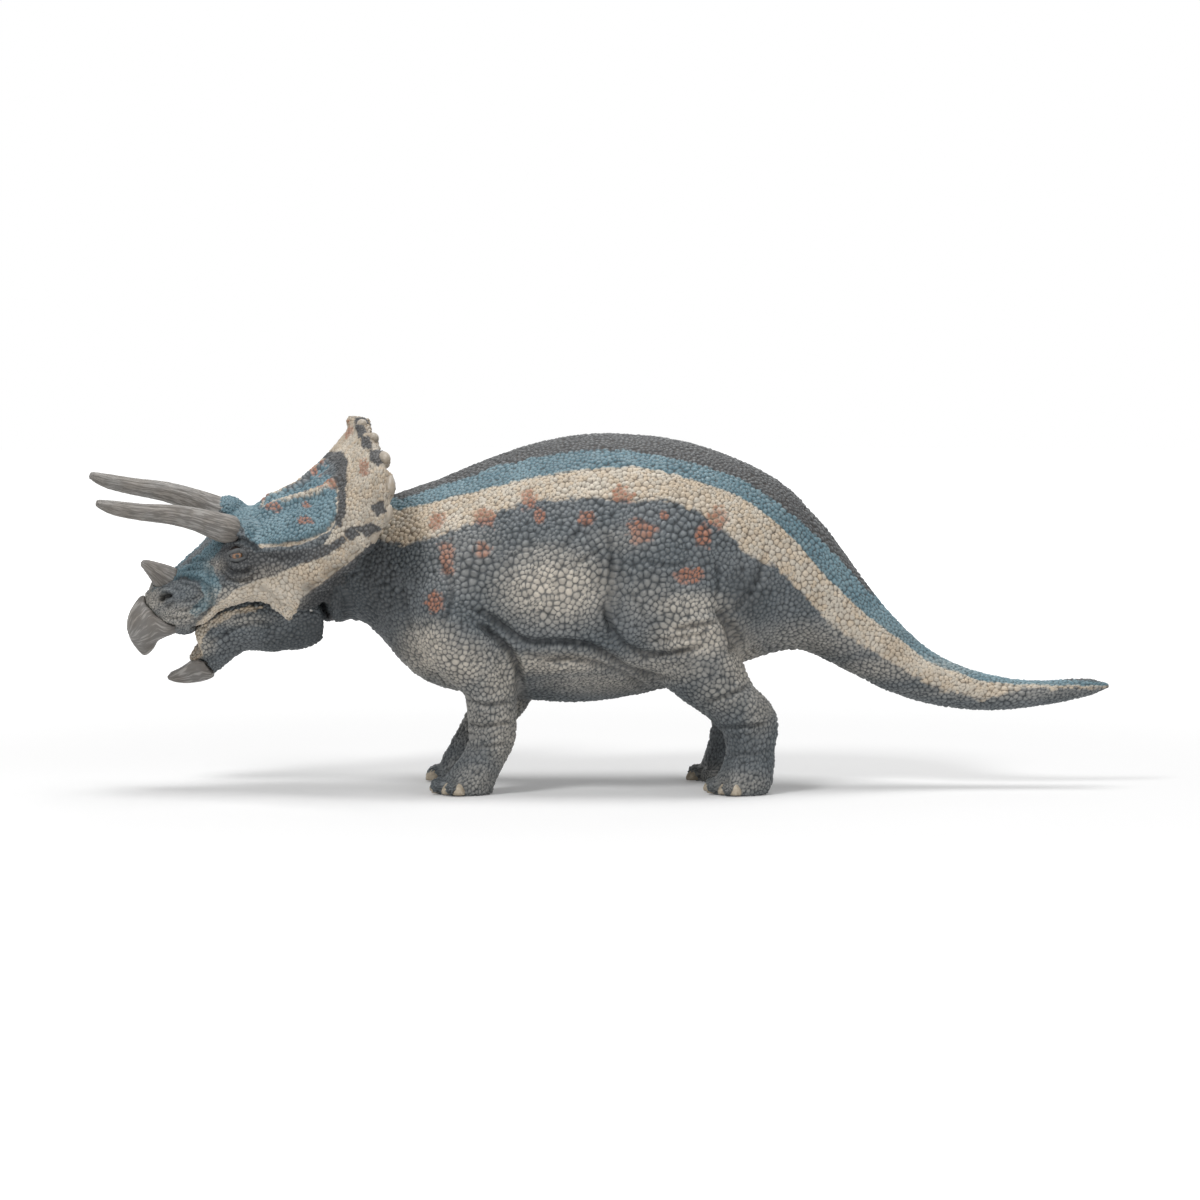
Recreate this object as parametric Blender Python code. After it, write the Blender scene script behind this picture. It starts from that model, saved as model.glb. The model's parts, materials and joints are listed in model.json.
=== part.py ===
"""Toy horned dinosaur figure: a walking four-legged animal with its mouth open.

A hollow torso moulding takes the head, the tail and four legs on glued plugs.
The horns, the beaks and the eye beads sit in the head, and the lower jaw turns
on a pin behind the cheeks. The figure looks along -X and stands on Z = 0.
"""

import bisect
import math

import bmesh
import bpy
from mathutils import Matrix, Vector

MM = 0.001

# Body line, from inside the skull to the tail's tip
BODY_LENGTH = 208.6 * MM
BODY_START = -82.0 * MM
BACK_HEIGHT = 88.3 * MM
BODY_HALF_WIDTH = 27.0 * MM
WALL = 2.2 * MM
NECK_SEAM_SHARE = 0.096
TAIL_SEAM_SHARE = 0.633
HOLLOW_NOSE_SHARE = 0.06
HOLLOW_TAIL_SHARE = 0.66

# Clearances and cuts
SEAM_GAP = 0.3 * MM
SOCKET_GAP = 0.3 * MM
SPIGOT_GAP = 0.5 * MM
CUT_OVERRUN = 1.0 * MM

# Plugs that hold the mouldings together
SPIGOT_LENGTH = 8.0 * MM
PLUG_RADIUS = 4.2 * MM
PLUG_REACH = 9.0 * MM
PLUG_KEY_WIDTH = 2.0 * MM
PLUG_KEY_HEIGHT = 1.5 * MM
PLUG_SKIN = 1.6 * MM
FRONT_PLUG_HEIGHT_SHARE = 0.48
REAR_PLUG_HEIGHT_SHARE = 0.43

# Claws
CLAW_LENGTH = 2.6 * MM
CLAW_HALF_WIDTH = 1.7 * MM
CLAW_HEIGHT = 3.6 * MM
CLAW_MIDDLE_SHARE = 0.56
CLAW_ANGLES = [math.radians(degrees) for degrees in (-62.0, -20.0, 22.0, 64.0)]

# Head, in its own frame: its middle plane, before it is turned and rolled
HEAD_PLACE = Vector((-63.4 * MM, 0.0, 55.9 * MM))
HEAD_YAW = math.radians(6.5)
HEAD_ROLL = math.radians(16.0)
HEAD_PITCH = math.radians(15.0)
HEAD_LENGTH = 60.0 * MM
HEAD_HEIGHT = 40.0 * MM
FRILL_HALF_WIDTH = 31.0 * MM
FRILL_THICKNESS = 4.2 * MM
FRILL_RIM_THICKNESS = 2.2 * MM
FRILL_STEP_SHARE = 0.02
FRILL_HOLLOW = 3.6 * MM
FRILL_RIDGE = 1.3 * MM
FRILL_RIDGE_WIDTH_SHARE = 0.08
FRILL_SAG_SHARES = Vector((0.25, 0.0, -0.97))
BOSS_HALF_LENGTH = 2.7 * MM
BOSS_HALF_HEIGHT = 2.2 * MM
BOSS_HALF_THICKNESS = 1.9 * MM
BOSS_RISE = 0.9 * MM
CHEEK_SPIKE_RADIUS = 3.4 * MM
CHEEK_TIP_SHARE = 0.2
HORN_RADIUS = 3.7 * MM
NOSE_HORN_RADIUS = 3.9 * MM
EYE_RADIUS = 2.1 * MM
EYE_GAP = 0.1 * MM

# Jaw hinge
JAW_LENGTH = 40.0 * MM
JAW_PIVOT = Vector((-11.0 * MM, 0.0, -9.5 * MM))
JAW_WALL = 1.8 * MM
JAW_CLEARANCE = 0.4 * MM
JAW_CLOSING = math.radians(11.0)
JAW_OPENING = math.radians(6.0)
JAW_SWING_MARGIN = math.radians(1.5)
BLOCK_HALF_LENGTH = 2.9 * MM
BLOCK_DROP = 3.4 * MM
BLOCK_HEIGHT = 8.0 * MM
RECESS_RADIUS = 5.1 * MM
RECESS_HALF_WIDTH = 11.1 * MM
HINGE_BLOCK_HALF_WIDTH = 6.4 * MM
ARM_FLOOR_DROP = 7.0 * MM
PIN_RADIUS = 1.25 * MM
PIN_CLEARANCE = 0.07 * MM
PIN_SEAT_GAP = 0.02 * MM
PIN_HALF_LENGTH = 9.0 * MM
PIN_END_GAP = 0.3 * MM
TONGUE_HALF_WIDTH = 3.1 * MM
TONGUE_HEIGHT = 2.2 * MM

# Roundness of the sections: where they are widest, and how square they are
BODY_WIDEST_SHARE = 0.44
BODY_POWER = 2.2
SKULL_WIDEST_SHARE = 0.4
SKULL_POWER = 2.4
CHEEK_POWER = 5.0
JAW_WIDEST_SHARE = 0.6
JAW_POWER = 3.0
SWEEP_POWER = 6.0
HOLLOW_POWER = 8.0
STUB_POWER = 4.0
TONGUE_WIDEST_SHARE = 0.45
HOLLOW_TOP = -62.0
HOLLOW_OVERRUN_SHARE = 0.2
WELD_SHARE = 0.01

BODY_RING_COUNT = 36
BODY_STATION_COUNT = 32
TAIL_STATION_COUNT = 16
TAIL_RING_COUNT = 20
LEG_RING_COUNT = 18
LEG_STATION_COUNT = 17
SKULL_RING_COUNT = 24
SKULL_STATION_COUNT = 18
NECK_STATION_COUNT = 7
JAW_RING_COUNT = 24
HOLLOW_RING_COUNT = 26
FINE_COUNT = 8
BEAK_RING_COUNT = 20
BEAK_STATION_COUNT = 13
LOWER_BEAK_RING_COUNT = 16
LOWER_BEAK_STATION_COUNT = 9
STUB_RING_COUNT = 12
TONGUE_RING_COUNT = 12
TONGUE_STATION_COUNT = 9
SPIKE_COUNT = 12
HORN_BEVEL_COUNT = 5
FRILL_ROW_COUNT = 6
FRILL_COLUMN_COUNT = 33
BALL_SEGMENTS = 8
BALL_RINGS = 5
EYE_SEGMENTS = 14
EYE_RINGS = 8
ROUND_COUNT = 24
PIN_COUNT = 32

# Along the body line, then lowest and highest point in back heights, then half width
BODY_SHARES = (
    (0.000, 0.498, 0.702, 0.352),
    (0.048, 0.464, 0.747, 0.422),
    (0.096, 0.484, 0.787, 0.459),
    (0.125, 0.432, 0.814, 0.556),
    (0.163, 0.332, 0.846, 0.704),
    (0.201, 0.285, 0.877, 0.815),
    (0.249, 0.268, 0.925, 0.896),
    (0.307, 0.251, 0.972, 0.963),
    (0.369, 0.245, 1.000, 1.000),
    (0.431, 0.265, 0.999, 1.000),
    (0.489, 0.299, 0.980, 0.948),
    (0.547, 0.346, 0.935, 0.815),
    (0.599, 0.386, 0.874, 0.648),
    (0.633, 0.390, 0.806, 0.533),
    (0.666, 0.354, 0.717, 0.437),
    (0.700, 0.313, 0.602, 0.356),
    (0.738, 0.270, 0.490, 0.281),
    (0.777, 0.241, 0.401, 0.219),
    (0.815, 0.225, 0.349, 0.174),
    (0.863, 0.219, 0.315, 0.141),
    (0.911, 0.230, 0.301, 0.111),
    (0.959, 0.250, 0.307, 0.081),
    (0.993, 0.272, 0.305, 0.044),
    (1.000, 0.283, 0.294, 0.015),
)

# Swellings and hollows of the flank: middle along the body line and in back heights,
# half length, half height, then the rise in body half widths
FLANK_FORM_SHARES = (
    (0.207, 0.645, 0.060, 0.150, 0.037),
    (0.323, 0.574, 0.080, 0.150, 0.033),
    (0.401, 0.560, 0.022, 0.200, -0.068),
    (0.345, 0.372, 0.075, 0.040, 0.030),
    (0.276, 0.455, 0.030, 0.028, -0.037),
    (0.343, 0.417, 0.040, 0.028, -0.037),
    (0.401, 0.372, 0.034, 0.028, -0.041),
    (0.452, 0.318, 0.034, 0.028, -0.037),
)

# Height in back heights, front and rear edge of the left and of the right leg
# along the body line, then the middle and the half depth in body half widths
FRONT_LEG_SHARES = (
    (0.000, 0.197, 0.261, 0.187, 0.253, 0.556, 0.248),
    (0.031, 0.200, 0.264, 0.191, 0.256, 0.556, 0.248),
    (0.061, 0.211, 0.270, 0.196, 0.261, 0.556, 0.226),
    (0.089, 0.219, 0.276, 0.202, 0.266, 0.556, 0.211),
    (0.137, 0.234, 0.287, 0.214, 0.275, 0.556, 0.204),
    (0.179, 0.233, 0.290, 0.223, 0.288, 0.563, 0.219),
    (0.227, 0.232, 0.289, 0.231, 0.306, 0.574, 0.233),
    (0.285, 0.228, 0.291, 0.227, 0.306, 0.593, 0.259),
    (0.351, 0.194, 0.287, 0.199, 0.297, 0.641, 0.285),
    (0.430, 0.175, 0.276, 0.177, 0.280, 0.681, 0.304),
    (0.521, 0.170, 0.261, 0.170, 0.266, 0.696, 0.296),
    (0.600, 0.175, 0.247, 0.175, 0.249, 0.681, 0.241),
    (0.657, 0.192, 0.230, 0.192, 0.230, 0.652, 0.119),
)
REAR_LEG_SHARES = (
    (0.000, 0.523, 0.587, 0.505, 0.561, 0.556, 0.256),
    (0.027, 0.523, 0.593, 0.509, 0.567, 0.556, 0.259),
    (0.057, 0.530, 0.595, 0.514, 0.570, 0.556, 0.233),
    (0.102, 0.538, 0.595, 0.520, 0.573, 0.556, 0.215),
    (0.137, 0.539, 0.596, 0.523, 0.576, 0.556, 0.215),
    (0.170, 0.535, 0.599, 0.525, 0.580, 0.559, 0.230),
    (0.210, 0.520, 0.600, 0.514, 0.583, 0.570, 0.256),
    (0.249, 0.496, 0.593, 0.495, 0.578, 0.585, 0.281),
    (0.294, 0.469, 0.572, 0.470, 0.566, 0.607, 0.307),
    (0.351, 0.451, 0.561, 0.453, 0.560, 0.630, 0.333),
    (0.419, 0.443, 0.548, 0.445, 0.551, 0.652, 0.352),
    (0.498, 0.444, 0.539, 0.445, 0.541, 0.667, 0.352),
    (0.578, 0.449, 0.533, 0.449, 0.534, 0.659, 0.333),
    (0.646, 0.457, 0.527, 0.457, 0.527, 0.637, 0.293),
    (0.710, 0.472, 0.514, 0.472, 0.514, 0.600, 0.163),
)

# Along the head, lowest and highest point in head heights, half width of the frill
SKULL_SHARES = (
    (-0.848, -0.225, -0.165, 0.052),
    (-0.832, -0.255, -0.112, 0.097),
    (-0.790, -0.300, -0.065, 0.158),
    (-0.717, -0.350, -0.005, 0.219),
    (-0.633, -0.337, 0.108, 0.265),
    (-0.567, -0.252, 0.212, 0.316),
    (-0.500, -0.192, 0.302, 0.374),
    (-0.433, -0.160, 0.352, 0.413),
    (-0.350, -0.170, 0.376, 0.445),
    (-0.267, -0.215, 0.422, 0.471),
    (-0.167, -0.210, 0.468, 0.452),
    (-0.067, -0.125, 0.510, 0.371),
)

# The frill from its top to its cheek: the rim, then the root in the skull
FRILL_SHARES = (
    (0.070, 0.000, 0.827, -0.367, 0.000, 0.345),
    (0.078, 0.258, 0.827, -0.367, 0.113, 0.338),
    (0.080, 0.484, 0.815, -0.367, 0.210, 0.318),
    (0.080, 0.677, 0.782, -0.367, 0.290, 0.278),
    (0.084, 0.839, 0.700, -0.367, 0.348, 0.227),
    (0.080, 0.955, 0.580, -0.363, 0.387, 0.163),
    (0.015, 1.000, 0.410, -0.358, 0.413, 0.087),
    (-0.053, 0.942, 0.278, -0.350, 0.419, 0.025),
    (-0.127, 0.839, 0.158, -0.342, 0.419, -0.037),
    (-0.210, 0.710, 0.018, -0.333, 0.419, -0.100),
    (-0.270, 0.594, -0.112, -0.330, 0.406, -0.150),
)
BOSS_PLACE_SHARES = (0.0, 0.105, 0.21, 0.315, 0.42, 0.525, 0.63, 0.74, 0.85)
CHEEK_SPIKE_SHARES = ((-0.335, 0.42, -0.03), (-0.280, 0.548, -0.208))

# Middle line of a brow horn and of the nose horn, then the radius
BROW_HORN_SHARES = (
    (-1.065, 0.355, 0.525, 0.203),
    (-1.037, 0.352, 0.508, 0.324),
    (-0.983, 0.342, 0.482, 0.473),
    (-0.877, 0.326, 0.450, 0.541),
    (-0.760, 0.297, 0.425, 0.635),
    (-0.647, 0.261, 0.377, 0.743),
    (-0.557, 0.235, 0.320, 0.919),
    (-0.500, 0.185, 0.290, 0.930),
)
NOSE_HORN_SHARES = (
    (-0.866, 0.000, 0.037, 0.179),
    (-0.842, 0.000, 0.019, 0.346),
    (-0.806, 0.000, -0.020, 0.590),
    (-0.765, 0.000, -0.070, 0.872),
    (-0.717, 0.000, -0.130, 1.000),
)
EYE_PLACE_SHARES = (-0.488, 0.310, 0.165)

# Upper beak from its hook up: height, then front and rear edge in head lengths, then half width
BEAK_SHARES = (
    (-0.572, -0.858, -0.842, 0.016),
    (-0.550, -0.871, -0.827, 0.039),
    (-0.508, -0.891, -0.808, 0.071),
    (-0.460, -0.909, -0.793, 0.106),
    (-0.420, -0.919, -0.742, 0.148),
    (-0.380, -0.922, -0.675, 0.181),
    (-0.338, -0.921, -0.675, 0.181),
    (-0.287, -0.911, -0.717, 0.142),
    (-0.237, -0.893, -0.775, 0.090),
    (-0.185, -0.868, -0.827, 0.032),
)
BEAK_STUB_SHARES = ((-0.76, -0.72), (-0.36, -0.22), 0.055)

# Jaw and lower beak: distance from the hinge in jaw lengths, upper and lower
# edge in degrees below the line forwards, then half width in frill half widths
JAW_SHARES = (
    (0.350, -21.4, 57.5, 0.338),
    (0.400, -17.5, 46.0, 0.325),
    (0.450, -13.5, 39.5, 0.305),
    (0.500, -9.5, 37.2, 0.285),
    (0.550, -4.8, 37.4, 0.262),
    (0.600, -0.5, 38.0, 0.238),
    (0.650, 3.5, 38.6, 0.212),
    (0.688, 6.3, 38.9, 0.192),
    (0.722, 9.0, 38.9, 0.175),
)
# Rear of the jaw: place along it, lowest and highest point, all in jaw lengths from
# the hinge, then half width in frill half widths
JAW_ROOT_SHARES = (
    (0.090, -0.215, 0.008, 0.325),
    (0.055, -0.250, 0.078, 0.328),
    (0.000, -0.277, 0.097, 0.331),
    (-0.075, -0.293, 0.090, 0.335),
    (-0.150, -0.292, 0.128, 0.338),
)
LOWER_BEAK_SHARES = (
    (0.731, 21.5, 39.4, 0.165),
    (0.765, 23.5, 39.3, 0.145),
    (0.805, 25.0, 38.6, 0.118),
    (0.850, 26.3, 37.1, 0.092),
    (0.900, 27.7, 35.3, 0.066),
    (0.950, 28.8, 32.9, 0.038),
    (0.985, 29.4, 30.6, 0.016),
)
JAW_SWEEP_SHARES = (
    (0.110, -50.0, 157.0, 0.328),
    (0.160, -48.0, 139.0, 0.330),
    (0.200, -42.0, 123.5, 0.333),
    (0.240, -34.0, 114.5, 0.335),
    (0.275, -28.0, 99.0, 0.338),
    (0.300, -25.0, 81.0, 0.340),
    *JAW_SHARES,
    (0.738, 9.0, 38.9, 0.175),
    (0.790, 20.0, 38.9, 0.170),
)
LOWER_STUB_SHARES = (0.690, 0.770, 28.5, 36.0, 0.075)
TONGUE_SHARES = (
    (0.395, 0.35, 0.60),
    (0.440, 0.90, 0.95),
    (0.500, 1.00, 1.00),
    (0.590, 0.80, 0.80),
    (0.645, 0.45, 0.45),
    (0.670, 0.15, 0.20),
)
SIDES = {-1: "left", 1: "right"}

parts = None
cutters = None


def collection(name):
    """New collection in the scene."""
    made = bpy.data.collections.new(name)
    bpy.context.scene.collection.children.link(made)
    return made


def material(name, colour, roughness):
    """Plain finish with one colour and one roughness."""
    made = bpy.data.materials.new(name)
    made.use_nodes = True
    shader = made.node_tree.nodes["Principled BSDF"]
    shader.inputs["Base Color"].default_value = (*colour, 1.0)
    shader.inputs["Roughness"].default_value = roughness
    shader.inputs["Metallic"].default_value = 0.0
    return made


def body_of(name, bm, finish=None):
    """Object made from a bmesh: a part where it has a finish, a cutter where it has none."""
    bmesh.ops.recalc_face_normals(bm, faces=bm.faces)
    mesh = bpy.data.meshes.new(name)
    bm.to_mesh(mesh)
    bm.free()
    made = bpy.data.objects.new(name, mesh)
    if finish is None:
        cutters.objects.link(made)
        made.hide_render = True
        made.display_type = 'WIRE'
    else:
        parts.objects.link(made)
        mesh.materials.append(finish)
        mesh.shade_smooth()
    return made


def combine(target, tool, operation):
    """Boolean of a tool on a target."""
    modifier = target.modifiers.new(tool.name, 'BOOLEAN')
    modifier.operation = operation
    modifier.object = tool


def cut(target, *tools):
    for tool in tools:
        combine(target, tool, 'DIFFERENCE')


def join(target, *tools):
    for tool in tools:
        combine(target, tool, 'UNION')


def row_at(rows, place):
    """Values of a table at one place of its first column, on a smooth line through its rows."""
    places = [row[0] for row in rows]
    index = min(max(bisect.bisect_right(places, place) - 1, 0), len(rows) - 2)
    span = places[index + 1] - places[index]
    part = (place - places[index]) / span
    values = []
    for column in range(1, len(rows[0])):
        slopes = []
        for middle in (index, index + 1):
            before = rows[max(middle - 1, 0)]
            after = rows[min(middle + 1, len(rows) - 1)]
            slopes.append((after[column] - before[column]) / (after[0] - before[0]) * span)
        start, end = rows[index][column], rows[index + 1][column]
        values.append(
            start * (2 * part ** 3 - 3 * part ** 2 + 1)
            + slopes[0] * (part ** 3 - 2 * part ** 2 + part)
            + end * (3 * part ** 2 - 2 * part ** 3)
            + slopes[1] * (part ** 3 - part ** 2)
        )
    return values


def steps(start, end, count):
    """Evenly spaced values, both ends included."""
    return [start + (end - start) * k / (count - 1) for k in range(count)]


def finer(rows, count):
    """Evenly spaced rows on a smooth line through a table."""
    return [(share, *row_at(rows, share)) for share in steps(rows[0][0], rows[-1][0], count)]


def egg(low, high, half_width, count, widest_share, power, upper_power=None, start=0.5):
    """Closed outline (across, up), widest at a share of its height."""
    widest = low + widest_share * (high - low)
    outline = []
    for k in range(count):
        angle = 2 * math.pi * (k + start) / count
        side, rise = math.cos(angle), math.sin(angle)
        reach = high - widest if rise > 0 else widest - low
        bend = 2 / (upper_power if upper_power and rise > 0 else power)
        across = half_width * math.copysign(abs(side) ** bend, side)
        up = widest + reach * math.copysign(abs(rise) ** bend, rise)
        outline.append((across, up))
    return outline


def spread(outline, count):
    """Points spaced evenly along a closed outline."""
    ends = outline[1:] + outline[:1]
    lengths = [math.dist(first, second) for first, second in zip(outline, ends)]
    points, index, passed = [], 0, 0.0
    for k in range(count):
        target = sum(lengths) * k / count
        while passed + lengths[index] < target:
            passed += lengths[index]
            index += 1
        part = (target - passed) / lengths[index]
        points.append(Vector(outline[index]).lerp(Vector(ends[index]), part))
    return points


def skin(bm, rings):
    """Faces through rings of equal counts, with both ends closed round their middles."""
    loops = [[bm.verts.new(point) for point in ring] for ring in rings]
    for first, second in zip(loops, loops[1:]):
        for k in range(len(first)):
            bm.faces.new((first[k], first[k - 1], second[k - 1], second[k]))
    ends = [bm.faces.new(loops[0]), bm.faces.new(loops[-1])]
    bmesh.ops.poke(bm, faces=ends)


def loft(name, rings, finish=None):
    """Closed body through rings."""
    bm = bmesh.new()
    skin(bm, rings)
    return body_of(name, bm, finish)


def along(share):
    """World X of a share of the body line."""
    return BODY_START + share * BODY_LENGTH


def body_ring(share, inset=0.0, count=BODY_RING_COUNT):
    """Section of the body at a share of its length, drawn in by an inset."""
    low, high, half_width = row_at(BODY_SHARES, share)
    outline = egg(
        low * BACK_HEIGHT + inset, high * BACK_HEIGHT - inset,
        half_width * BODY_HALF_WIDTH - inset, count, BODY_WIDEST_SHARE, BODY_POWER,
    )
    middle, reach = (low + high) / 2 * BACK_HEIGHT, (high - low) / 2 * BACK_HEIGHT
    ring = []
    for across, up in outline:
        outward = Vector((across / (half_width * BODY_HALF_WIDTH) ** 2, (up - middle) / reach ** 2))
        outward.normalize()
        rise = flank_rise(share, up / BACK_HEIGHT) * abs(outward.x)
        ring.append((along(share), across + outward.x * rise, up + outward.y * rise))
    return ring


def flank_rise(share, height_share):
    """How far the flank stands out of its plain section."""
    rise = 0.0
    for place, height, half_length, half_height, rise_share in FLANK_FORM_SHARES:
        away = ((share - place) / half_length) ** 2 + ((height_share - height) / half_height) ** 2
        rise += rise_share * BODY_HALF_WIDTH * math.exp(-away)
    return rise


def body_loft(name, start, end, count, inset=0.0, finish=None, ring_count=BODY_RING_COUNT):
    """Length of the body between two shares."""
    rings = [body_ring(share, inset, ring_count) for share in steps(start, end, count)]
    return loft(name, rings, finish)


def numbered(rows):
    """Rows with their own number as the first column."""
    return [(index, *row) for index, row in enumerate(rows)]


def placed(thing, matrix):
    """Sets where an object stands, under the figure's origin."""
    thing.matrix_basis = matrix
    return thing


def head_frame():
    """From the head's own frame to the figure's."""
    axis = Vector((math.cos(HEAD_PITCH), 0.0, math.sin(HEAD_PITCH)))
    turned = Matrix.Rotation(HEAD_YAW, 4, 'Z') @ Matrix.Rotation(HEAD_ROLL, 4, axis)
    return Matrix.Translation(HEAD_PLACE) @ turned


def head_point(along_share, across_share, up_share, side=1):
    """Point of the head's own frame from its shares."""
    return Vector((
        along_share * HEAD_LENGTH, side * across_share * FRILL_HALF_WIDTH, up_share * HEAD_HEIGHT,
    ))


def make_box(name, low, high):
    """Box cutter between two corners."""
    bm = bmesh.new()
    bmesh.ops.create_cube(bm, size=1.0)
    for vert in bm.verts:
        vert.co = Vector(
            low[k] if vert.co[k] < 0 else high[k] for k in range(3)
        )
    return body_of(name, bm)


def make_rod(name, radius, start, end, count, finish=None):
    """Cylinder along Y between two places."""
    bm = bmesh.new()
    bmesh.ops.create_cone(
        bm, cap_ends=True, segments=count, radius1=radius, radius2=radius, depth=end - start,
        matrix=Matrix.Translation((0, (start + end) / 2, 0)) @ Matrix.Rotation(math.pi / 2, 4, 'X'),
    )
    return body_of(name, bm, finish)


def make_ball(bm, axes, place, segments, rings):
    """Ellipsoid with three half axes, added to a bmesh."""
    frame = Matrix.Identity(4)
    for column, axis in enumerate(axes):
        frame.col[column][:3] = axis
    frame.translation = place
    bmesh.ops.create_uvsphere(bm, u_segments=segments, v_segments=rings, radius=1.0, matrix=frame)


def make_tube(name, rows, radius, side, growth=0.0, finish=None):
    """Round tapered horn along its middle line."""
    curve = bpy.data.curves.new(name, 'CURVE')
    curve.dimensions = '3D'
    curve.bevel_depth = radius
    curve.bevel_resolution = HORN_BEVEL_COUNT
    curve.use_fill_caps = True
    numbers = numbered(rows)
    spline = curve.splines.new('POLY')
    places = steps(0, len(rows) - 1, 2 * len(rows) - 1)
    spline.points.add(len(places) - 1)
    for point, place in zip(spline.points, places):
        x, y, z, share = row_at(numbers, place)
        point.co = (*head_point(x, y, z, side), 1.0)
        point.radius = share + growth / radius
    shaped = bpy.data.objects.new(name + "_curve", curve)
    bpy.context.scene.collection.objects.link(shaped)
    bpy.context.view_layer.update()
    mesh = bpy.data.meshes.new_from_object(
        shaped.evaluated_get(bpy.context.evaluated_depsgraph_get())
    )
    bpy.data.objects.remove(shaped)
    bm = bmesh.new()
    bm.from_mesh(mesh)
    bpy.data.meshes.remove(mesh)
    bmesh.ops.remove_doubles(bm, verts=bm.verts, dist=SEAM_GAP * WELD_SHARE)
    return body_of(name, bm, finish)


def make_torso(finish):
    """Hollow torso moulding, open at the neck and at the tail."""
    torso = body_loft(
        "torso_shell", NECK_SEAM_SHARE, TAIL_SEAM_SHARE, BODY_STATION_COUNT, finish=finish,
    )
    hollow = body_loft(
        "torso_hollow", HOLLOW_NOSE_SHARE, HOLLOW_TAIL_SHARE, BODY_STATION_COUNT,
        inset=WALL, ring_count=BODY_RING_COUNT // 2,
    )
    cut(torso, hollow)
    return torso


def seam_spigot(name, seam_share, start, end):
    """Straight plug with the section of a seam, which slides into the torso's opening."""
    section = body_ring(seam_share, WALL + SPIGOT_GAP, BODY_RING_COUNT // 2)
    rings = [[(x, point[1], point[2]) for point in section] for x in (start, end)]
    return loft(name, rings)


def make_tail(finish):
    """Tail with its spigot."""
    start = TAIL_SEAM_SHARE + SEAM_GAP / BODY_LENGTH
    tail = body_loft("tail", start, 1.0, TAIL_STATION_COUNT, finish=finish, ring_count=TAIL_RING_COUNT)
    seam = along(TAIL_SEAM_SHARE)
    join(tail, seam_spigot("tail_spigot", TAIL_SEAM_SHARE, seam - SPIGOT_LENGTH, seam + WALL))
    return tail


def leg_section(rows, column, share):
    """Front edge, rear edge, middle and half depth of a leg at a height share."""
    values = row_at(rows, share)
    return (
        along(values[column]), along(values[column + 1]),
        values[4] * BODY_HALF_WIDTH, values[5] * BODY_HALF_WIDTH,
    )


def make_leg(name, rows, side, plug_share, torso, finish):
    """Leg with its claws, cut to the torso's flank, with a keyed plug into it."""
    column = 0 if side < 0 else 2
    top_share = rows[-1][0]
    floor_share = -CUT_OVERRUN / BACK_HEIGHT
    rings = []
    for share in steps(floor_share, top_share, LEG_STATION_COUNT):
        front, rear, middle, depth = leg_section(rows, column, share)
        ring = []
        for k in range(LEG_RING_COUNT):
            angle = 2 * math.pi * k / LEG_RING_COUNT
            ring.append((
                (front + rear) / 2 + (rear - front) / 2 * math.cos(angle),
                side * (middle + depth * math.sin(angle)),
                share * BACK_HEIGHT,
            ))
        rings.append(ring)
    leg = loft(name, rings, finish)
    floor = make_box(
        name + "_floor",
        (-BODY_LENGTH, -BODY_LENGTH, -BACK_HEIGHT), (BODY_LENGTH, BODY_LENGTH, 0.0),
    )
    flank = body_loft(
        name + "_flank", NECK_SEAM_SHARE, TAIL_SEAM_SHARE, BODY_STATION_COUNT, inset=-SEAM_GAP,
    )
    cut(leg, floor, flank)
    join(leg, make_claws(name + "_claws", rows, column, side))
    front, rear, middle, depth = leg_section(rows, column, plug_share)
    place = Matrix.Translation(((front + rear) / 2, 0, plug_share * BACK_HEIGHT))
    outer = side * (middle + depth - PLUG_SKIN)
    ends = sorted((outer, outer - side * PLUG_REACH))
    plug = placed(make_rod(name + "_plug", PLUG_RADIUS, *ends, ROUND_COUNT), place)
    key = placed(make_key(name + "_key", ends, 0.0), place)
    join(plug, key)
    join(leg, plug)
    ends = sorted((outer, outer - side * (PLUG_REACH + CUT_OVERRUN)))
    socket = placed(
        make_rod(name + "_socket", PLUG_RADIUS + SOCKET_GAP, *ends, ROUND_COUNT), place,
    )
    slot = placed(make_key(name + "_slot", ends, SOCKET_GAP), place)
    cut(torso, socket, slot)
    return leg


def make_key(name, ends, growth):
    """Rib along the top of a plug."""
    half = PLUG_KEY_WIDTH / 2 + growth
    return make_box(
        name, (-half, ends[0], 0.0), (half, ends[1], PLUG_RADIUS + PLUG_KEY_HEIGHT + growth),
    )


def make_claws(name, rows, column, side):
    """Blunt claws round the front of a foot."""
    front, rear, middle, depth = leg_section(rows, column, 0.0)
    bm = bmesh.new()
    for angle in CLAW_ANGLES:
        outward = Vector((-math.cos(angle), side * math.sin(angle), 0.0))
        across = Vector((outward.y, -outward.x, 0.0))
        place = Vector((
            (front + rear) / 2 - (rear - front) / 2 * math.cos(angle),
            side * (middle + depth * math.sin(angle)), CLAW_HEIGHT * CLAW_MIDDLE_SHARE,
        ))
        axes = (outward * CLAW_LENGTH, across * CLAW_HALF_WIDTH, Vector((0, 0, CLAW_HEIGHT / 2)))
        make_ball(bm, axes, place, BALL_SEGMENTS, BALL_RINGS)
    return body_of(name, bm)


def skull_loft(name, growth=0.0, finish=None):
    """Snout and skull, grown on every side."""
    first, last = SKULL_SHARES[0][0], SKULL_SHARES[-1][0]
    rings = []
    for share, low, high, half_width in finer(SKULL_SHARES, SKULL_STATION_COUNT):
        ends_share = 2 * (share - first) / (last - first) - 1
        x = share * HEAD_LENGTH + ends_share * growth
        outline = egg(
            low * HEAD_HEIGHT - growth, high * HEAD_HEIGHT + growth,
            half_width * FRILL_HALF_WIDTH + growth, SKULL_RING_COUNT, SKULL_WIDEST_SHARE,
            CHEEK_POWER, SKULL_POWER,
        )
        rings.append([(x, across, up) for across, up in outline])
    return loft(name, rings, finish)


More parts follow.
